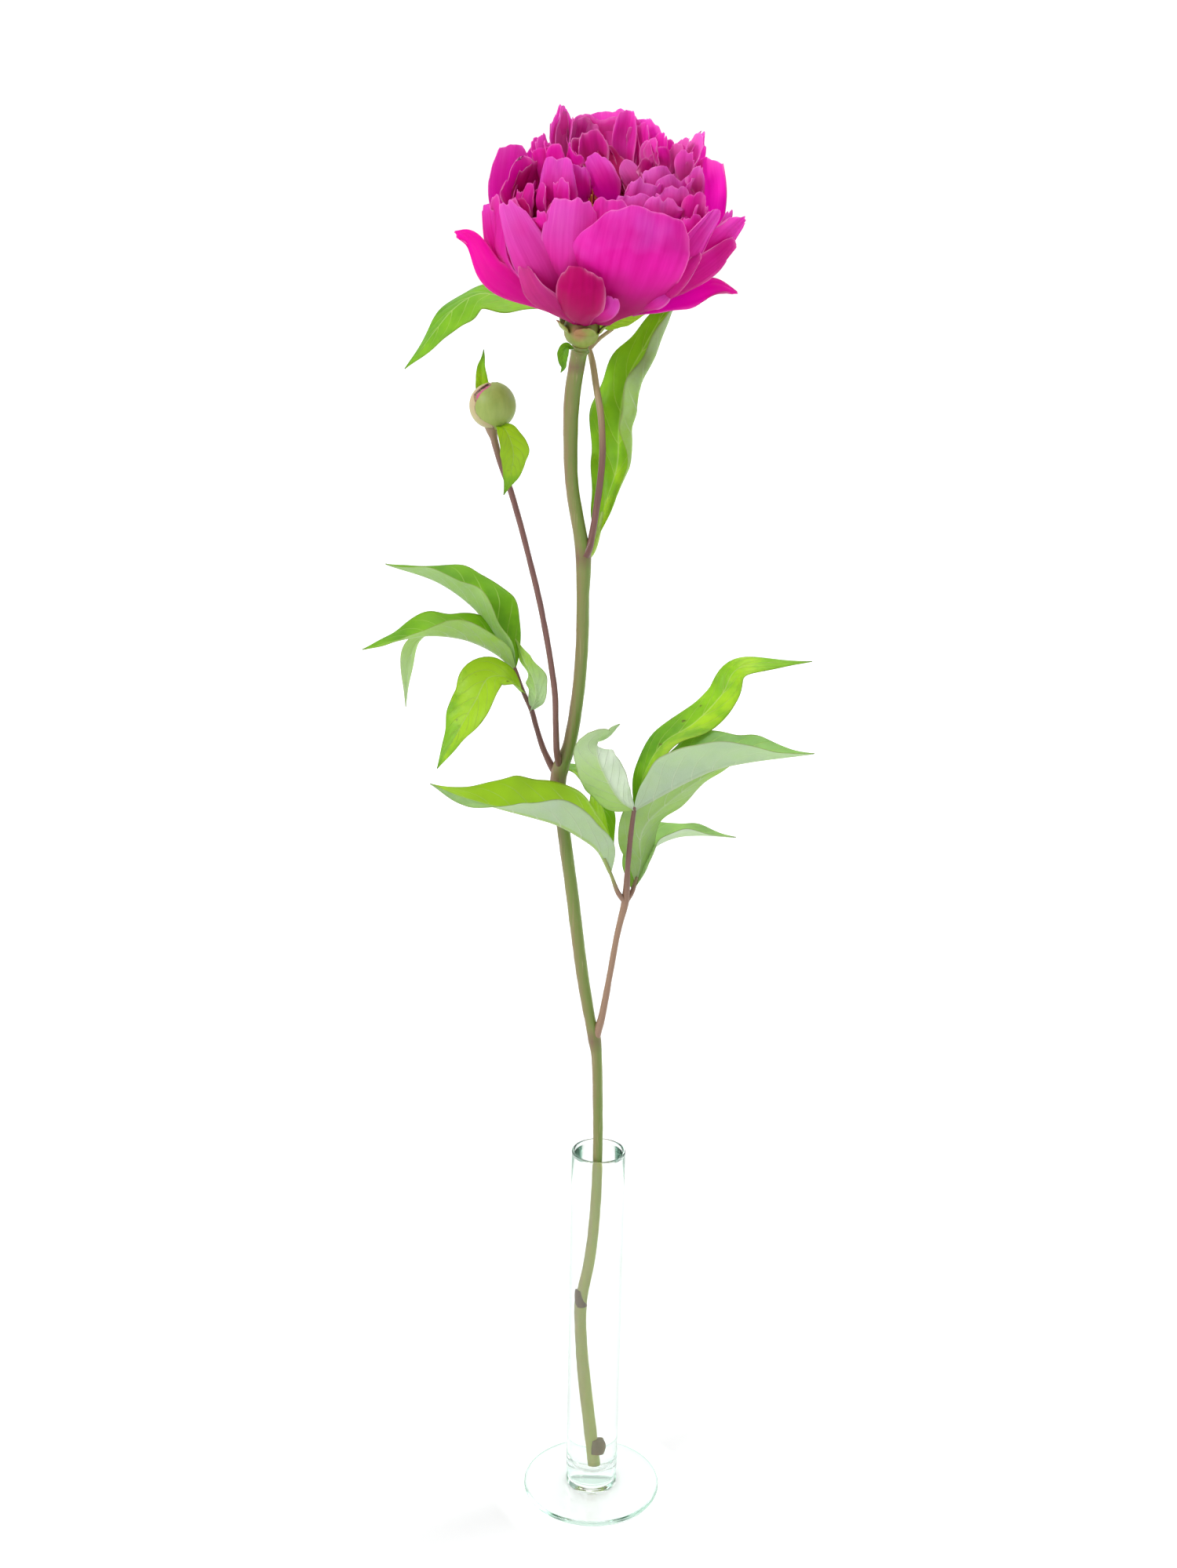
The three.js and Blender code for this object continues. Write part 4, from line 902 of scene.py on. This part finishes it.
SEPAL_TURNS = (-62, 10, 82, 154, 226)
knob_profile = [
    (0, -KNOB_HEIGHT - 2.2), (3.4, -KNOB_HEIGHT - 2.2), (3.6, -KNOB_HEIGHT), (5, -KNOB_HEIGHT + 0.7),
    (6.7, -KNOB_HEIGHT + 2), (7.7, -KNOB_HEIGHT + 4), (8.1, -3.6), (8, -1.2), (7.4, 0.9), (6.2, 2.4),
    (4.4, 3.1), (0, 3.2),
]
sepals = [petal_sheet(turn, [(6, -4), (9.2, -2.2), (12.4, 2.2)], width=4.8, across=12, rows=14, thick=0.7)
          for turn in SEPAL_TURNS]
show(spread([*sepals, lathe(knob_profile, sides=40)]).mesh("calyx", calyx_green, head_in_metres),
     "calyx_knob", "calyx")


# Bloom: one flower head of silky petals on a shared base. Broad cupped guard petals stand outside and
# curl at their edges; narrower ones crowd inside round a dark hollow. Petals are paler outside.
def petal_finish():
    """Silky lilac to magenta outside, hot pink to crimson inside, darker at the root, with pale edges
    that are partly painted highlight, and painted light on chosen petals and on the inner tips.
    """
    made = Finish("silky petal")
    across, along, side, rim = (made.attribute(name) for name in ("across", "along", "side", "rim"))
    tone, seed, flush, blanch = (made.attribute(name) for name in ("tone", "seed", "flush", "blanch"))
    streak = made.noise(made.vector(across * 16 + seed * 40, along * 2.2, seed * 9), 1, 3, 0.6)
    fine = made.noise(made.vector(across * 60 + seed * 90, along * 4, seed * 5), 1)
    cloud = made.noise(made.place(), 55)
    light = (streak * 1.3 - 0.25).clamped()
    warmth = (tone + (cloud - 0.5) * 0.5).clamped()
    lilac = made.mix(colour(206, 52, 190), colour(236, 116, 220), light)
    magenta = made.mix(colour(198, 0, 138), colour(236, 62, 194), light)
    crimson = made.mix(colour(164, 0, 76), colour(204, 4, 118), light)
    outside = made.layered(
        lilac, (magenta, (warmth.step(0.0, 0.2) * 0.9 + along.step(0.9, 0.45)).clamped()),
        (crimson, warmth.step(0.3, 0.75)), (colour(172, 0, 98), along.step(0.75, 0.15) * 0.85),
        (colour(240, 0, 160), flush))
    inside = made.layered(
        made.mix(colour(232, 4, 172), colour(246, 84, 214), light),
        (crimson, (warmth.step(0.2, 0.9) + along.step(0.62, 0.2) * 0.8).clamped()),
        (colour(124, 0, 54), along.step(0.55, 0.1) * 0.8),
        # Painted light: the tips of the inner faces are painted a paler pink, less on deeper-toned petals.
        (colour(246, 140, 222), along.step(0.72, 1.0) * (1 - tone).clamped() * 0.6))
    shade = made.layered(
        outside, (inside, side.step(0.3, 0.7)),
        # Painted light: chosen petals are painted a paler pink towards their tips, where light falls on them.
        (colour(242, 150, 224), blanch * along.step(0.1, 0.8) * (light * 0.4 + 0.65)),
        # Pale edges: partly the petal's own paler margin, partly a painted highlight where light catches the
        # edge.
        (colour(254, 200, 234), (rim * (streak * 1.4 + 0.05)).clamped() * 0.8))
    shade = made.mix(shade, colour(238, 200, 226), fine.step(0.4, 0.7) * 0.35, blend="MULTIPLY")
    made.paint(Base_Color=shade, Roughness=0.42 + streak * 0.2, Specular_IOR_Level=0.12,
               Normal=made.bump(streak + fine * 0.5, 0.35, 0.12))
    made.glowing_through((1.0, 0.05, 0.8, 1), 0.5 + (cloud - 0.5) * 0.2)
    return made


silky = petal_finish()


def free_petal(rib, width, cup, crown=0.9, ruffle=0.8, curl=0, point=0, lean=0, cleft=None, turned=None,
               pale=0, face=None, seed=0, across=22, rows=32, frayed=1, **look):
    """A petal on its own middle line; its edges bend by cup degrees towards the hollow of the head. Crown
    rounds its top, lean lowers a corner, point narrows its tip, and cleft splits it at a share of its
    width by a depth. It turns by turned degrees from root to tip, and its outer side looks along face."""
    path = Path(rib)
    centre = path.at(0.55)
    if face is None:
        face = [(centre[0] - 12) * 0.5, math.copysign(max(14, abs(centre[1] - 4)), centre[1] - 8), 0]
    face = np.array(face) / np.linalg.norm(face)
    chance = np.random.default_rng(seed)
    phase = chance.uniform(0, 6.28, 8)
    lop = chance.uniform(-0.15, 0.15)
    ruffle = ruffle * min(1, max(0.4, width / 9))
    if turned is None:
        turned = chance.uniform(-26, 26)
    if cleft is None:
        cleft = chance.uniform(-0.6, 0.6), chance.uniform(-2, 3.5) * min(1, width / 9)
    drop = min(0.5, crown * width / path.length)
    frill = 0.1 * frayed * min(width, 12) / path.length

    def place(column, t):
        s = np.sin(column * np.pi / 2)
        t = 1 - (1 - t) ** 1.4
        bitten = frill * (np.sin(4 * column + phase[0]) + 0.7 * np.sin(9 * column + phase[1])
                          + 0.35 * np.sin(21 * column + phase[6]))
        bitten = bitten + max(cleft[1], 0) / path.length * np.exp(-((s - cleft[0]) / 0.13) ** 2)
        reach = t * (1 - drop * (1 - np.cos(column * np.pi / 2)) * (1 - lean * s) - np.maximum(bitten, -0.03))
        forward = path.ahead(reach)
        level = np.cross(forward, face)
        level /= np.linalg.norm(level, axis=-1, keepdims=True)
        twist = np.radians(turned) * t[..., None]
        over = level * np.cos(twist) + np.cross(level, forward) * np.sin(twist)
        outward = np.cross(over, forward)
        wide = width * (0.2 + 0.8 * np.sin(np.pi * 0.6 * t) ** 1.25) * (1 + lop * np.sign(s))
        wide = wide * (1 - point * np.clip((t - 0.55) / 0.45, 0, 1) ** 1.6)
        bend = s * math.radians(cup)
        radius = wide / math.radians(cup)
        ripple = ruffle * t * (0.3 + s * s) * np.sin(6 * t + 3 * s + phase[2])
        ripple = ripple + 0.7 * ruffle * t ** 2 * np.sin(5 * column + phase[3]) * np.cos(4 * t + phase[4])
        ripple = ripple + 0.5 * ruffle * np.abs(s) ** 5 * np.sin(17 * t + phase[7])
        ripple = ripple + curl * np.clip(t - 0.65, 0, 1) ** 2 * 14
        pleats = np.sin(5 * s + phase[5] + 1.5 * t) + 0.6 * np.sin(9 * s + phase[0] - 2 * t)
        ripple = ripple + 0.065 * ruffle * width * t ** 1.3 * (pleats + 0.3 * np.sin(17 * s))
        inward = radius * (1 - np.cos(bend)) - ripple
        return path.at(reach) + over * (radius * np.sin(bend))[..., None] - outward * inward[..., None]

    # Pale petals get a wider, brighter edge: partly their paler margin, partly painted highlight.
    edge = (0.6, 1) if pale else (0.4, 0.6)
    return petal_blade(place, across, rows, width, path.length, edge, seed, easing=1.4, **look)


def petal(width, cup, tone, *rib, **more):
    """A petal in the frame of the flower head: half its width, its cup, its tone and its middle line."""
    return dict(rib=rib, width=width, cup=cup, tone=tone, **more)


OUTER_PETALS = [
    petal(25.9, 30, 0.12, (7.2, -8, 2.9), (14.2, -42, 29.7), (17.3, -53.5, 52.9), (19, -45.5, 67.4),
          crown=0.75, lean=0.7, ruffle=0.4, cleft=(-0.3, 1.5), seed=1, turned=0),
    petal(12.9, 44, 0, (-1.7, -8, 1.8), (-7.1, -38, 30.3), (-8.4, -45, 50.3), (-8.4, -36, 66.7), crown=0.85,
          ruffle=0.5, cleft=(0.45, 2), seed=2, turned=0, blanch=0.12),
    petal(10.4, 40, 0.12, (4.2, -8, 6.8), (6, -36, 35.2), (7, -42, 54.2), (6.7, -32, 66.2), crown=0.9,
          ruffle=0.6, seed=3, turned=8),
    petal(11.3, 34, 0, (-8.1, -8, 4.2), (-19.1, -38, 30.9), (-28.5, -38, 46.2), (-36.5, -28, 59.2), crown=1,
          point=0.4, ruffle=0.5, seed=4, turned=-12, blanch=0.2),
    petal(7.6, 24, 0.08, (-10, -4, 3.1), (-30.7, -22, 24.5), (-41, -22, 41), (-44.7, -14, 53), crown=1,
          point=0.4, seed=5, turned=0),
    petal(11.1, 26, 0.35, (-6.4, -4, 2.5), (-25.9, -20, 14.9), (-42, -24, 26.7), (-49.7, -22, 39.3),
          (-56.2, -14, 39.8), crown=0.7, point=0.8, curl=1, seed=6, flush=0.8, turned=0, cleft=(0, 0),
          frayed=0.2, ruffle=0.5),
    petal(7.4, 34, 0, (25.1, -10, 11.3), (37.3, -36, 36.4), (44.6, -34, 51), (53.1, -22, 61.7), crown=1,
          point=0.4, seed=7, turned=0),
    petal(9.3, 24, 0.08, (21.8, -4, 7.9), (44, -22, 31.5), (56.1, -20, 46), (65.7, -10, 56.3), crown=1.1,
          point=0.5, seed=8, turned=0),
    petal(7.8, 30, 0.45, (23.5, -6, 8.8), (43.9, -28, 31.7), (54.9, -26, 40.8), (62.9, -18, 47.3),
          crown=1.1, point=0.3, turned=0, curl=-0.5, seed=9, pale=1),
    petal(5.4, 60, 0.5, (26.1, -10, 10.5), (36.4, -38, 29.2), (41.6, -40, 39), (47.5, -33, 46), crown=1,
          point=0.4, turned=0, seed=10, pale=1),
    petal(7.1, 20, 0.62, (21.9, 0, 6.5), (43, -6, 18.9), (56.2, -10, 26.4), (67, -6, 22), crown=1,
          point=0.8, seed=11, flush=0.6, face=(0.2, -0.55, 0.8), turned=0),
    petal(4, 40, 0.1, (21.7, -12, 9.8), (28.1, -34, 22.2), (32.2, -38, 27.9), (35.2, -35, 32), crown=1,
          seed=12, pale=1),
    petal(11.6, 42, 0.8, (1, -10, 2.4), (-3.6, -38, 16.1), (-3.3, -52, 31.1), (-3.4, -49, 41.3), crown=0.7,
          ruffle=0.4, seed=13, pale=1, turned=0),
    petal(7.3, 40, 0.66, (-3.5, -8, 1.9), (-13, -36, 16.8), (-21.5, -43, 27.1), (-27.2, -38, 36.5), crown=1,
          point=0.4, seed=14, pale=1, blanch=0.22),
    petal(4, 36, 0.05, (3.5, -10, 4.2), (8.4, -34, 16.3), (11.4, -43, 24.2), (11, -44, 28.4), crown=0.9,
          seed=15),
    petal(5.8, 24, 0, (49.2, -10, 33.3), (56.3, -14, 45.8), (58.3, -12, 52.3), (59.5, -6, 57.9), crown=1,
          point=0.6, seed=16, pale=1),
    petal(16, 34, 0.15, (-11, 6, 10.6), (-27.8, 10, 30.5), (-36.8, 13, 50.9), (-36.9, 18, 70.3), crown=1,
          flush=0.5, face=(-0.7, 0.7, 0), seed=17, turned=0, blanch=0.35),
    petal(14.7, 34, 0.15, (30.4, 6, 11.7), (44.8, 8, 36.1), (51.4, 10, 56.5), (47.8, 16, 73.3), crown=1,
          flush=0.5, face=(0.7, 0.7, 0), seed=18, turned=0),
    petal(8.6, 45, 0.12, (-4.9, 10, 45.1), (-7.9, 28, 62.6), (-8.3, 34, 81.6), crown=0.9, seed=19,
          turned=-10, blanch=0.5),
    petal(15.3, 36, 0.12, (8.2, 12, 45.7), (4.6, 34, 66.5), (0.2, 38, 84.2), crown=0.7, ruffle=0.6, seed=20,
          turned=0, cleft=(0.3, 2), blanch=0.4),
    petal(13.6, 44, 0.1, (21.3, 8, 48.1), (22.1, 28, 65.3), (19, 32, 82.7), crown=1, ruffle=0.4, seed=21,
          turned=6, cleft=(0, 0), blanch=0.6),
]
BACK_PETALS = [
    dict(turn=-148, line=[(28, 9), (44, 38), (39, 70)], width=24, tone=0.12),
    dict(turn=180, line=[(26, 10), (41, 46), (35, 84)], width=24, tone=0.2),
    dict(turn=150, line=[(28, 9), (47, 44), (42, 79)], width=23, tone=0.2),
    dict(turn=70, line=[(30, 18), (50, 40), (49, 64)], width=19, tone=0.2),
    dict(turn=-68, line=[(28, 18), (45, 36), (43, 58)], width=17, tone=0.2),
    dict(turn=-152, line=[(20, 40), (32, 66), (35, 86)], width=8, tone=0.2),
    dict(turn=118, line=[(26, 40), (46, 60), (52, 82)], width=9, tone=0.2),
]
outer = [free_petal(across=28, rows=44, **shape) for shape in OUTER_PETALS]
for i, shape in enumerate(BACK_PETALS):
    rooted = dict(shape, line=[(6, 4 + 0.8 * (i % 3)), *shape["line"]])
    outer.append(petal_sheet(seed=i + 1, across=28, rows=44, crown=0.26, **rooted))
show(spread(outer).mesh("guard petals", silky, head_in_metres), "guard_petals", "bloom")

FREE_PETALS = [
    petal(5.2, 48, 0, (-12.8, 8, 57.2), (-16.2, 24, 66.4), (-17, 30, 76.8), (-16.5, 30, 85.6), crown=1.2,
          point=0.4, blanch=1),
    petal(4.8, 48, 0, (-14.5, 6, 57.6), (-18.4, 20, 65.5), (-20.1, 26, 73.3), (-19.6, 26, 82.5), crown=1,
          point=0.5, blanch=1),
    petal(5.9, 45, 0.06, (-19.6, 4, 56.8), (-23.5, 12, 66.3), (-25, 12, 77.4), crown=0.8, blanch=0.6),
    petal(8.2, 45, 0.25, (-15.6, -4, 55.2), (-19.7, 2, 65.9), (-20.8, 2, 77.3)),
    petal(6.1, 50, 0.25, (-9, -4, 59.2), (-10.9, 2, 68.5), (-11.5, 0, 77.1)),
    petal(11.4, 46, 0, (-11.1, -6, 42.3), (-17.5, -17, 61.3), (-18, -8, 73.5), crown=0.8),
    petal(6.6, 46, 0.05, (-4.2, -4, 52.8), (-7.1, -12, 64.2), (-8.2, -8, 71.7)),
    petal(8.4, 46, 0, (9, -4, 50.5), (3.3, -12, 65.2), (-3.6, -4, 73.7), crown=1),
    petal(11.8, 30, 0.5, (-21.7, 2, 38.8), (-32.4, 8, 51.9), (-32.5, 4, 68.1), crown=0.8, pale=1,
          face=(-0.75, 0.65, 0)),
    petal(4.3, 45, 0.15, (-19.7, -12, 45.1), (-22.8, -18, 56.9), (-21.5, -17, 65.1), crown=1.3),
    petal(3.9, 45, 0.2, (-25, -10, 44.8), (-28.1, -14, 54.3), (-26.4, -12, 62.9), crown=1.3),
    petal(3.4, 45, 0.3, (-28.7, -6, 45), (-31.8, -8, 52.2), (-31.3, -6, 58.1), crown=1.3),
    petal(4.1, 50, 0.1, (-12, -18, 49.3), (-13, -24, 62), (-13.2, -22, 69.4), crown=1.4),
    petal(3.9, 45, 0.1, (-18, -30, 45.6), (-20.1, -36, 54), (-21.2, -34, 58.8), crown=1.3),
    petal(4.5, 45, 0.2, (-20.3, -28, 41.3), (-23.5, -34, 49.7), (-24.8, -32, 54.3), crown=1),
    petal(5, 45, 0.7, (-28.1, -14, 43.2), (-29.6, -20, 51.7), (-30.9, -18, 57.8), crown=1.2),
    petal(5.7, 40, 0.3, (-4.1, 12, 56), (-8.3, 30, 69.8), (-8.5, 34, 80.6), crown=1.2),
    petal(5.9, 46, 0.1, (15.2, 4, 57.4), (11.1, 24, 71.5), (11.2, 30, 86.3), crown=1.3),
    petal(6.6, 44, 0.2, (19.3, 2, 60.1), (19, 22, 70.1), (18.4, 28, 82.8), crown=1),
    petal(7.5, 40, 0.3, (25.4, 2, 59.8), (26.7, 18, 67.6), (27.3, 23, 80.1), crown=1),
    petal(7.5, 40, 0.55, (2.9, 6, 58.3), (-0.7, 14, 68.7), (-3.1, 18, 79.7), crown=0.9, pale=1),
    petal(6.8, 40, 0.8, (8.1, 4, 58.5), (6.4, 12, 65.6), (3, 20, 72.6), crown=0.9),
    petal(4.5, 45, 0.15, (26.9, 0, 66.5), (25.4, 9, 72.5), (23.7, 12, 80.2), crown=1.1, frayed=0.4,
          blanch=0.3),
    petal(3.9, 45, 0.15, (30.3, 0, 67.7), (28.6, 7, 72.5), (27, 8, 77.8), crown=1.1, frayed=0.4),
    petal(4.8, 45, 0, (21, -6, 61.7), (15.4, 0, 67.2), (11.9, 4, 71.7), crown=1.2, frayed=0.5, blanch=0.6),
    petal(5, 40, 0.5, (20.9, -2, 62.3), (22.2, 2, 66.4), (23, 8, 71.7), crown=1, pale=1),
    petal(11.4, 56, 0, (32, -8, 55.6), (30.9, -5, 65.7), (30, -2, 72.6), crown=0.5, turned=0, blanch=0.35),
    petal(10.9, 56, 0, (37.1, -12, 55.5), (36.2, -10, 64.3), (35.1, -8, 71.4), crown=0.55, turned=10,
          blanch=0.35),
    petal(7.9, 50, 0, (45.7, -10, 55.7), (44.7, -8, 64.5), (43.5, -8, 72.2), crown=0.6, blanch=0.35),
    petal(12.7, 60, 0, (23.1, -14, 49.7), (23.3, -18, 62.8), (24.6, -14, 69.9), crown=0.6, turned=-12,
          blanch=0.35),
    petal(9.5, 56, 0, (35.5, -18, 53.7), (34.5, -20, 62.8), (34.1, -16, 69), crown=0.6, turned=12,
          blanch=0.35),
    petal(13.8, 50, 0, (20.4, -20, 51.2), (20.4, -26, 60.7), (21.2, -22, 65.3), crown=0.5, turned=0,
          blanch=0.35),
    petal(14.1, 50, 0, (33.2, -22, 51.3), (32.2, -26, 60.5), (31.7, -22, 65.8), crown=0.5, turned=0,
          blanch=0.35),
    petal(5, 46, 0.06, (37.9, 0, 60.7), (36.2, 14, 69.5), (37.8, 18, 80.1), crown=1.3, blanch=0.8),
    petal(4.5, 46, 0.06, (34.7, 0, 62.1), (33.9, 14, 69.3), (34.3, 18, 77.2), crown=1.3, blanch=0.6),
    petal(5.4, 46, 0, (42.9, 2, 60.6), (42.7, 16, 70.5), (44.3, 20, 81.6), crown=0.9, blanch=1),
    petal(4.8, 46, 0.1, (39.8, -4, 61.2), (38.7, 2, 69.6), (38.2, 2, 79.1), crown=1.1, blanch=0.5),
    petal(5.2, 46, 0, (45.1, -8, 62.8), (44.3, -8, 69.5), (44.2, -7, 75.3), crown=0.8, blanch=0.4),
    petal(6.8, 45, 0.1, (45.3, -20, 50.1), (45.1, -22, 59.2), (45.6, -16, 66.8), crown=0.9),
    petal(5.7, 45, 0.15, (42.1, -28, 47.2), (43, -30, 54.7), (42.5, -27, 60.8), crown=0.9),
]


def neighbour(shape, i):
    """A lower petal that stands behind another one and a little to its side."""
    chance = np.random.default_rng(500 + i)
    aside = chance.choice([-1, 1]) * chance.uniform(0.4, 0.8) * shape["width"]
    back, lower = chance.uniform(1.5, 3.5), chance.uniform(1.5, 5)
    rib = [(x + aside * share, y + back, z - lower * share)
           for (x, y, z), share in zip(shape["rib"], np.linspace(0.2, 1, len(shape["rib"])))]
    return dict(shape, rib=rib, width=shape["width"] * chance.uniform(0.8, 1.05), tone=shape["tone"] + 0.1,
                seed=700 + i, across=14, rows=20)


inner = [free_petal(**dict(dict(seed=100 + i, ruffle=1.15, frayed=1.7), **shape))
         for i, shape in enumerate(FREE_PETALS)]
inner += [free_petal(**neighbour(shape, i)) for i, shape in enumerate(FREE_PETALS) if shape["tone"] > 0.05]
show(spread(inner).mesh("inner petals", silky, head_in_metres), "inner_petals", "bloom")

# Rings of like petals round a closed core fill the head behind the petals that are seen first.
rings = Growth("ring of petals", ("Count", "Int", 8), ("Start", "Float", 0.0), ("Drift", "Float", 0.15),
               ("Seed", "Int", 1))
turn = rings.node("GeometryNodeInputIndex") / rings.given("Count") * (2 * math.pi) + rings.given("Start")
drift = rings.node("FunctionNodeRandomValue", dict(data_type="FLOAT_VECTOR"), {
    0: (-1.0, -1.0, -1.0), 1: (1.0, 1.0, 1.0), "Seed": rings.given("Seed")})
drift = rings.node("ShaderNodeVectorMath", dict(operation="SCALE"), {0: drift, "Scale": rings.given("Drift")})
leaning = rings.node("ShaderNodeVectorMath", dict(operation="ADD"), {0: rings.vector(0, 0, turn), 1: drift})
size = rings.node("FunctionNodeRandomValue", dict(data_type="FLOAT"), {
    2: 0.9, 3: 1.06, "Seed": rings.given("Seed")}, output=1)
rings.ending(rings.node("GeometryNodeInstanceOnPoints", inputs={
    "Points": rings.node("GeometryNodePoints", inputs={"Count": rings.given("Count")}),
    "Instance": rings.given("Geometry"), "Scale": size,
    "Rotation": rings.node("FunctionNodeEulerToRotation", inputs={0: leaning})}))

CORE_RADIUS, CORE_HEIGHT = 17, 34
PETAL_RINGS = [
    dict(count=10, start=10, line=[(8, 16), (36, 34), (34, 60)], width=12.5, drift=0.06, tone=0.5),
    dict(count=11, start=34, line=[(8, 24), (27, 40), (26, 58)], width=8.8, drift=0.08, tone=0.8),
    dict(count=7, start=60, line=[(8, 30), (16, 42), (17, 50)], width=7, drift=0.08, tone=1.0),
]
filling = []
for i, ring in enumerate(PETAL_RINGS):
    one = petal_sheet(0, ring["line"], ring["width"], across=16, rows=26, cup=1.15, notch=0.06, ruffle=0.9,
                      seed=200 + i, tone=ring["tone"])
    filling.append(rings.grow(spread([one]).mesh("petal"), Start=math.radians(ring["start"]),
                              Count=ring["count"], Drift=ring["drift"], Seed=i, Skin=silky.material))
core_profile = [
    (0, 0.2), (5, 0.2), (CORE_RADIUS * 0.75, 5), (CORE_RADIUS, 13), (CORE_RADIUS * 0.95, CORE_HEIGHT - 8),
    (CORE_RADIUS * 0.8, CORE_HEIGHT - 3), (CORE_RADIUS * 0.5, CORE_HEIGHT), (0, CORE_HEIGHT),
]
core = lathe(core_profile, sides=40, tone=1.0, along=0.1)
filling = joined("filling petals", *filling, spread([core]).mesh("core", silky))
filling.transform(head_in_metres)
show(filling, "filling_petals", "bloom")


# Stamens: a small tuft of pale yellow threads on the middle of the head, each ending in a bean-shaped
# pollen sac. They stand on a low round base.
STAMEN_COUNT, STAMEN_BASE = 26, CORE_HEIGHT + SEAT_GAP
yellow = Finish("pale yellow stamens")
dust = yellow.noise(yellow.place(), 900)
yellow.paint(Base_Color=yellow.mix(colour(244, 210, 110), colour(226, 170, 60), dust),
             Roughness=0.6 + dust * 0.1)
threads = []
for i in range(STAMEN_COUNT):
    turn, out, tall = 2.4 * i, 0.6 + 0.11 * i, 20 + 7 * math.sin(3.1 * i)
    line = [(out, 0.5, 0.28), (out + 0.8, tall / 2, 0.24), (out + 2, tall - 3, 0.22),
            (out + 2.2, tall - 2.6, 0.5), (out + 2.4, tall - 0.6, 0.55), (out + 2.45, tall, 0.25)]
    threads.append([[*(head @ Vector((r * math.cos(turn), r * math.sin(turn), STAMEN_BASE + z))), thick]
                    for r, z, thick in line])
disc = lathe([(0, STAMEN_BASE), (4, STAMEN_BASE), (4.4, STAMEN_BASE + 1.2), (4.2, STAMEN_BASE + 2.4),
              (0, STAMEN_BASE + 3.2)], sides=24)
show(joined("stamens", stems(threads, yellow, sides=8, step=1.2),
            spread([disc]).mesh("stamen base", yellow, head_in_metres)),
     "stamen_tuft", "stamens")
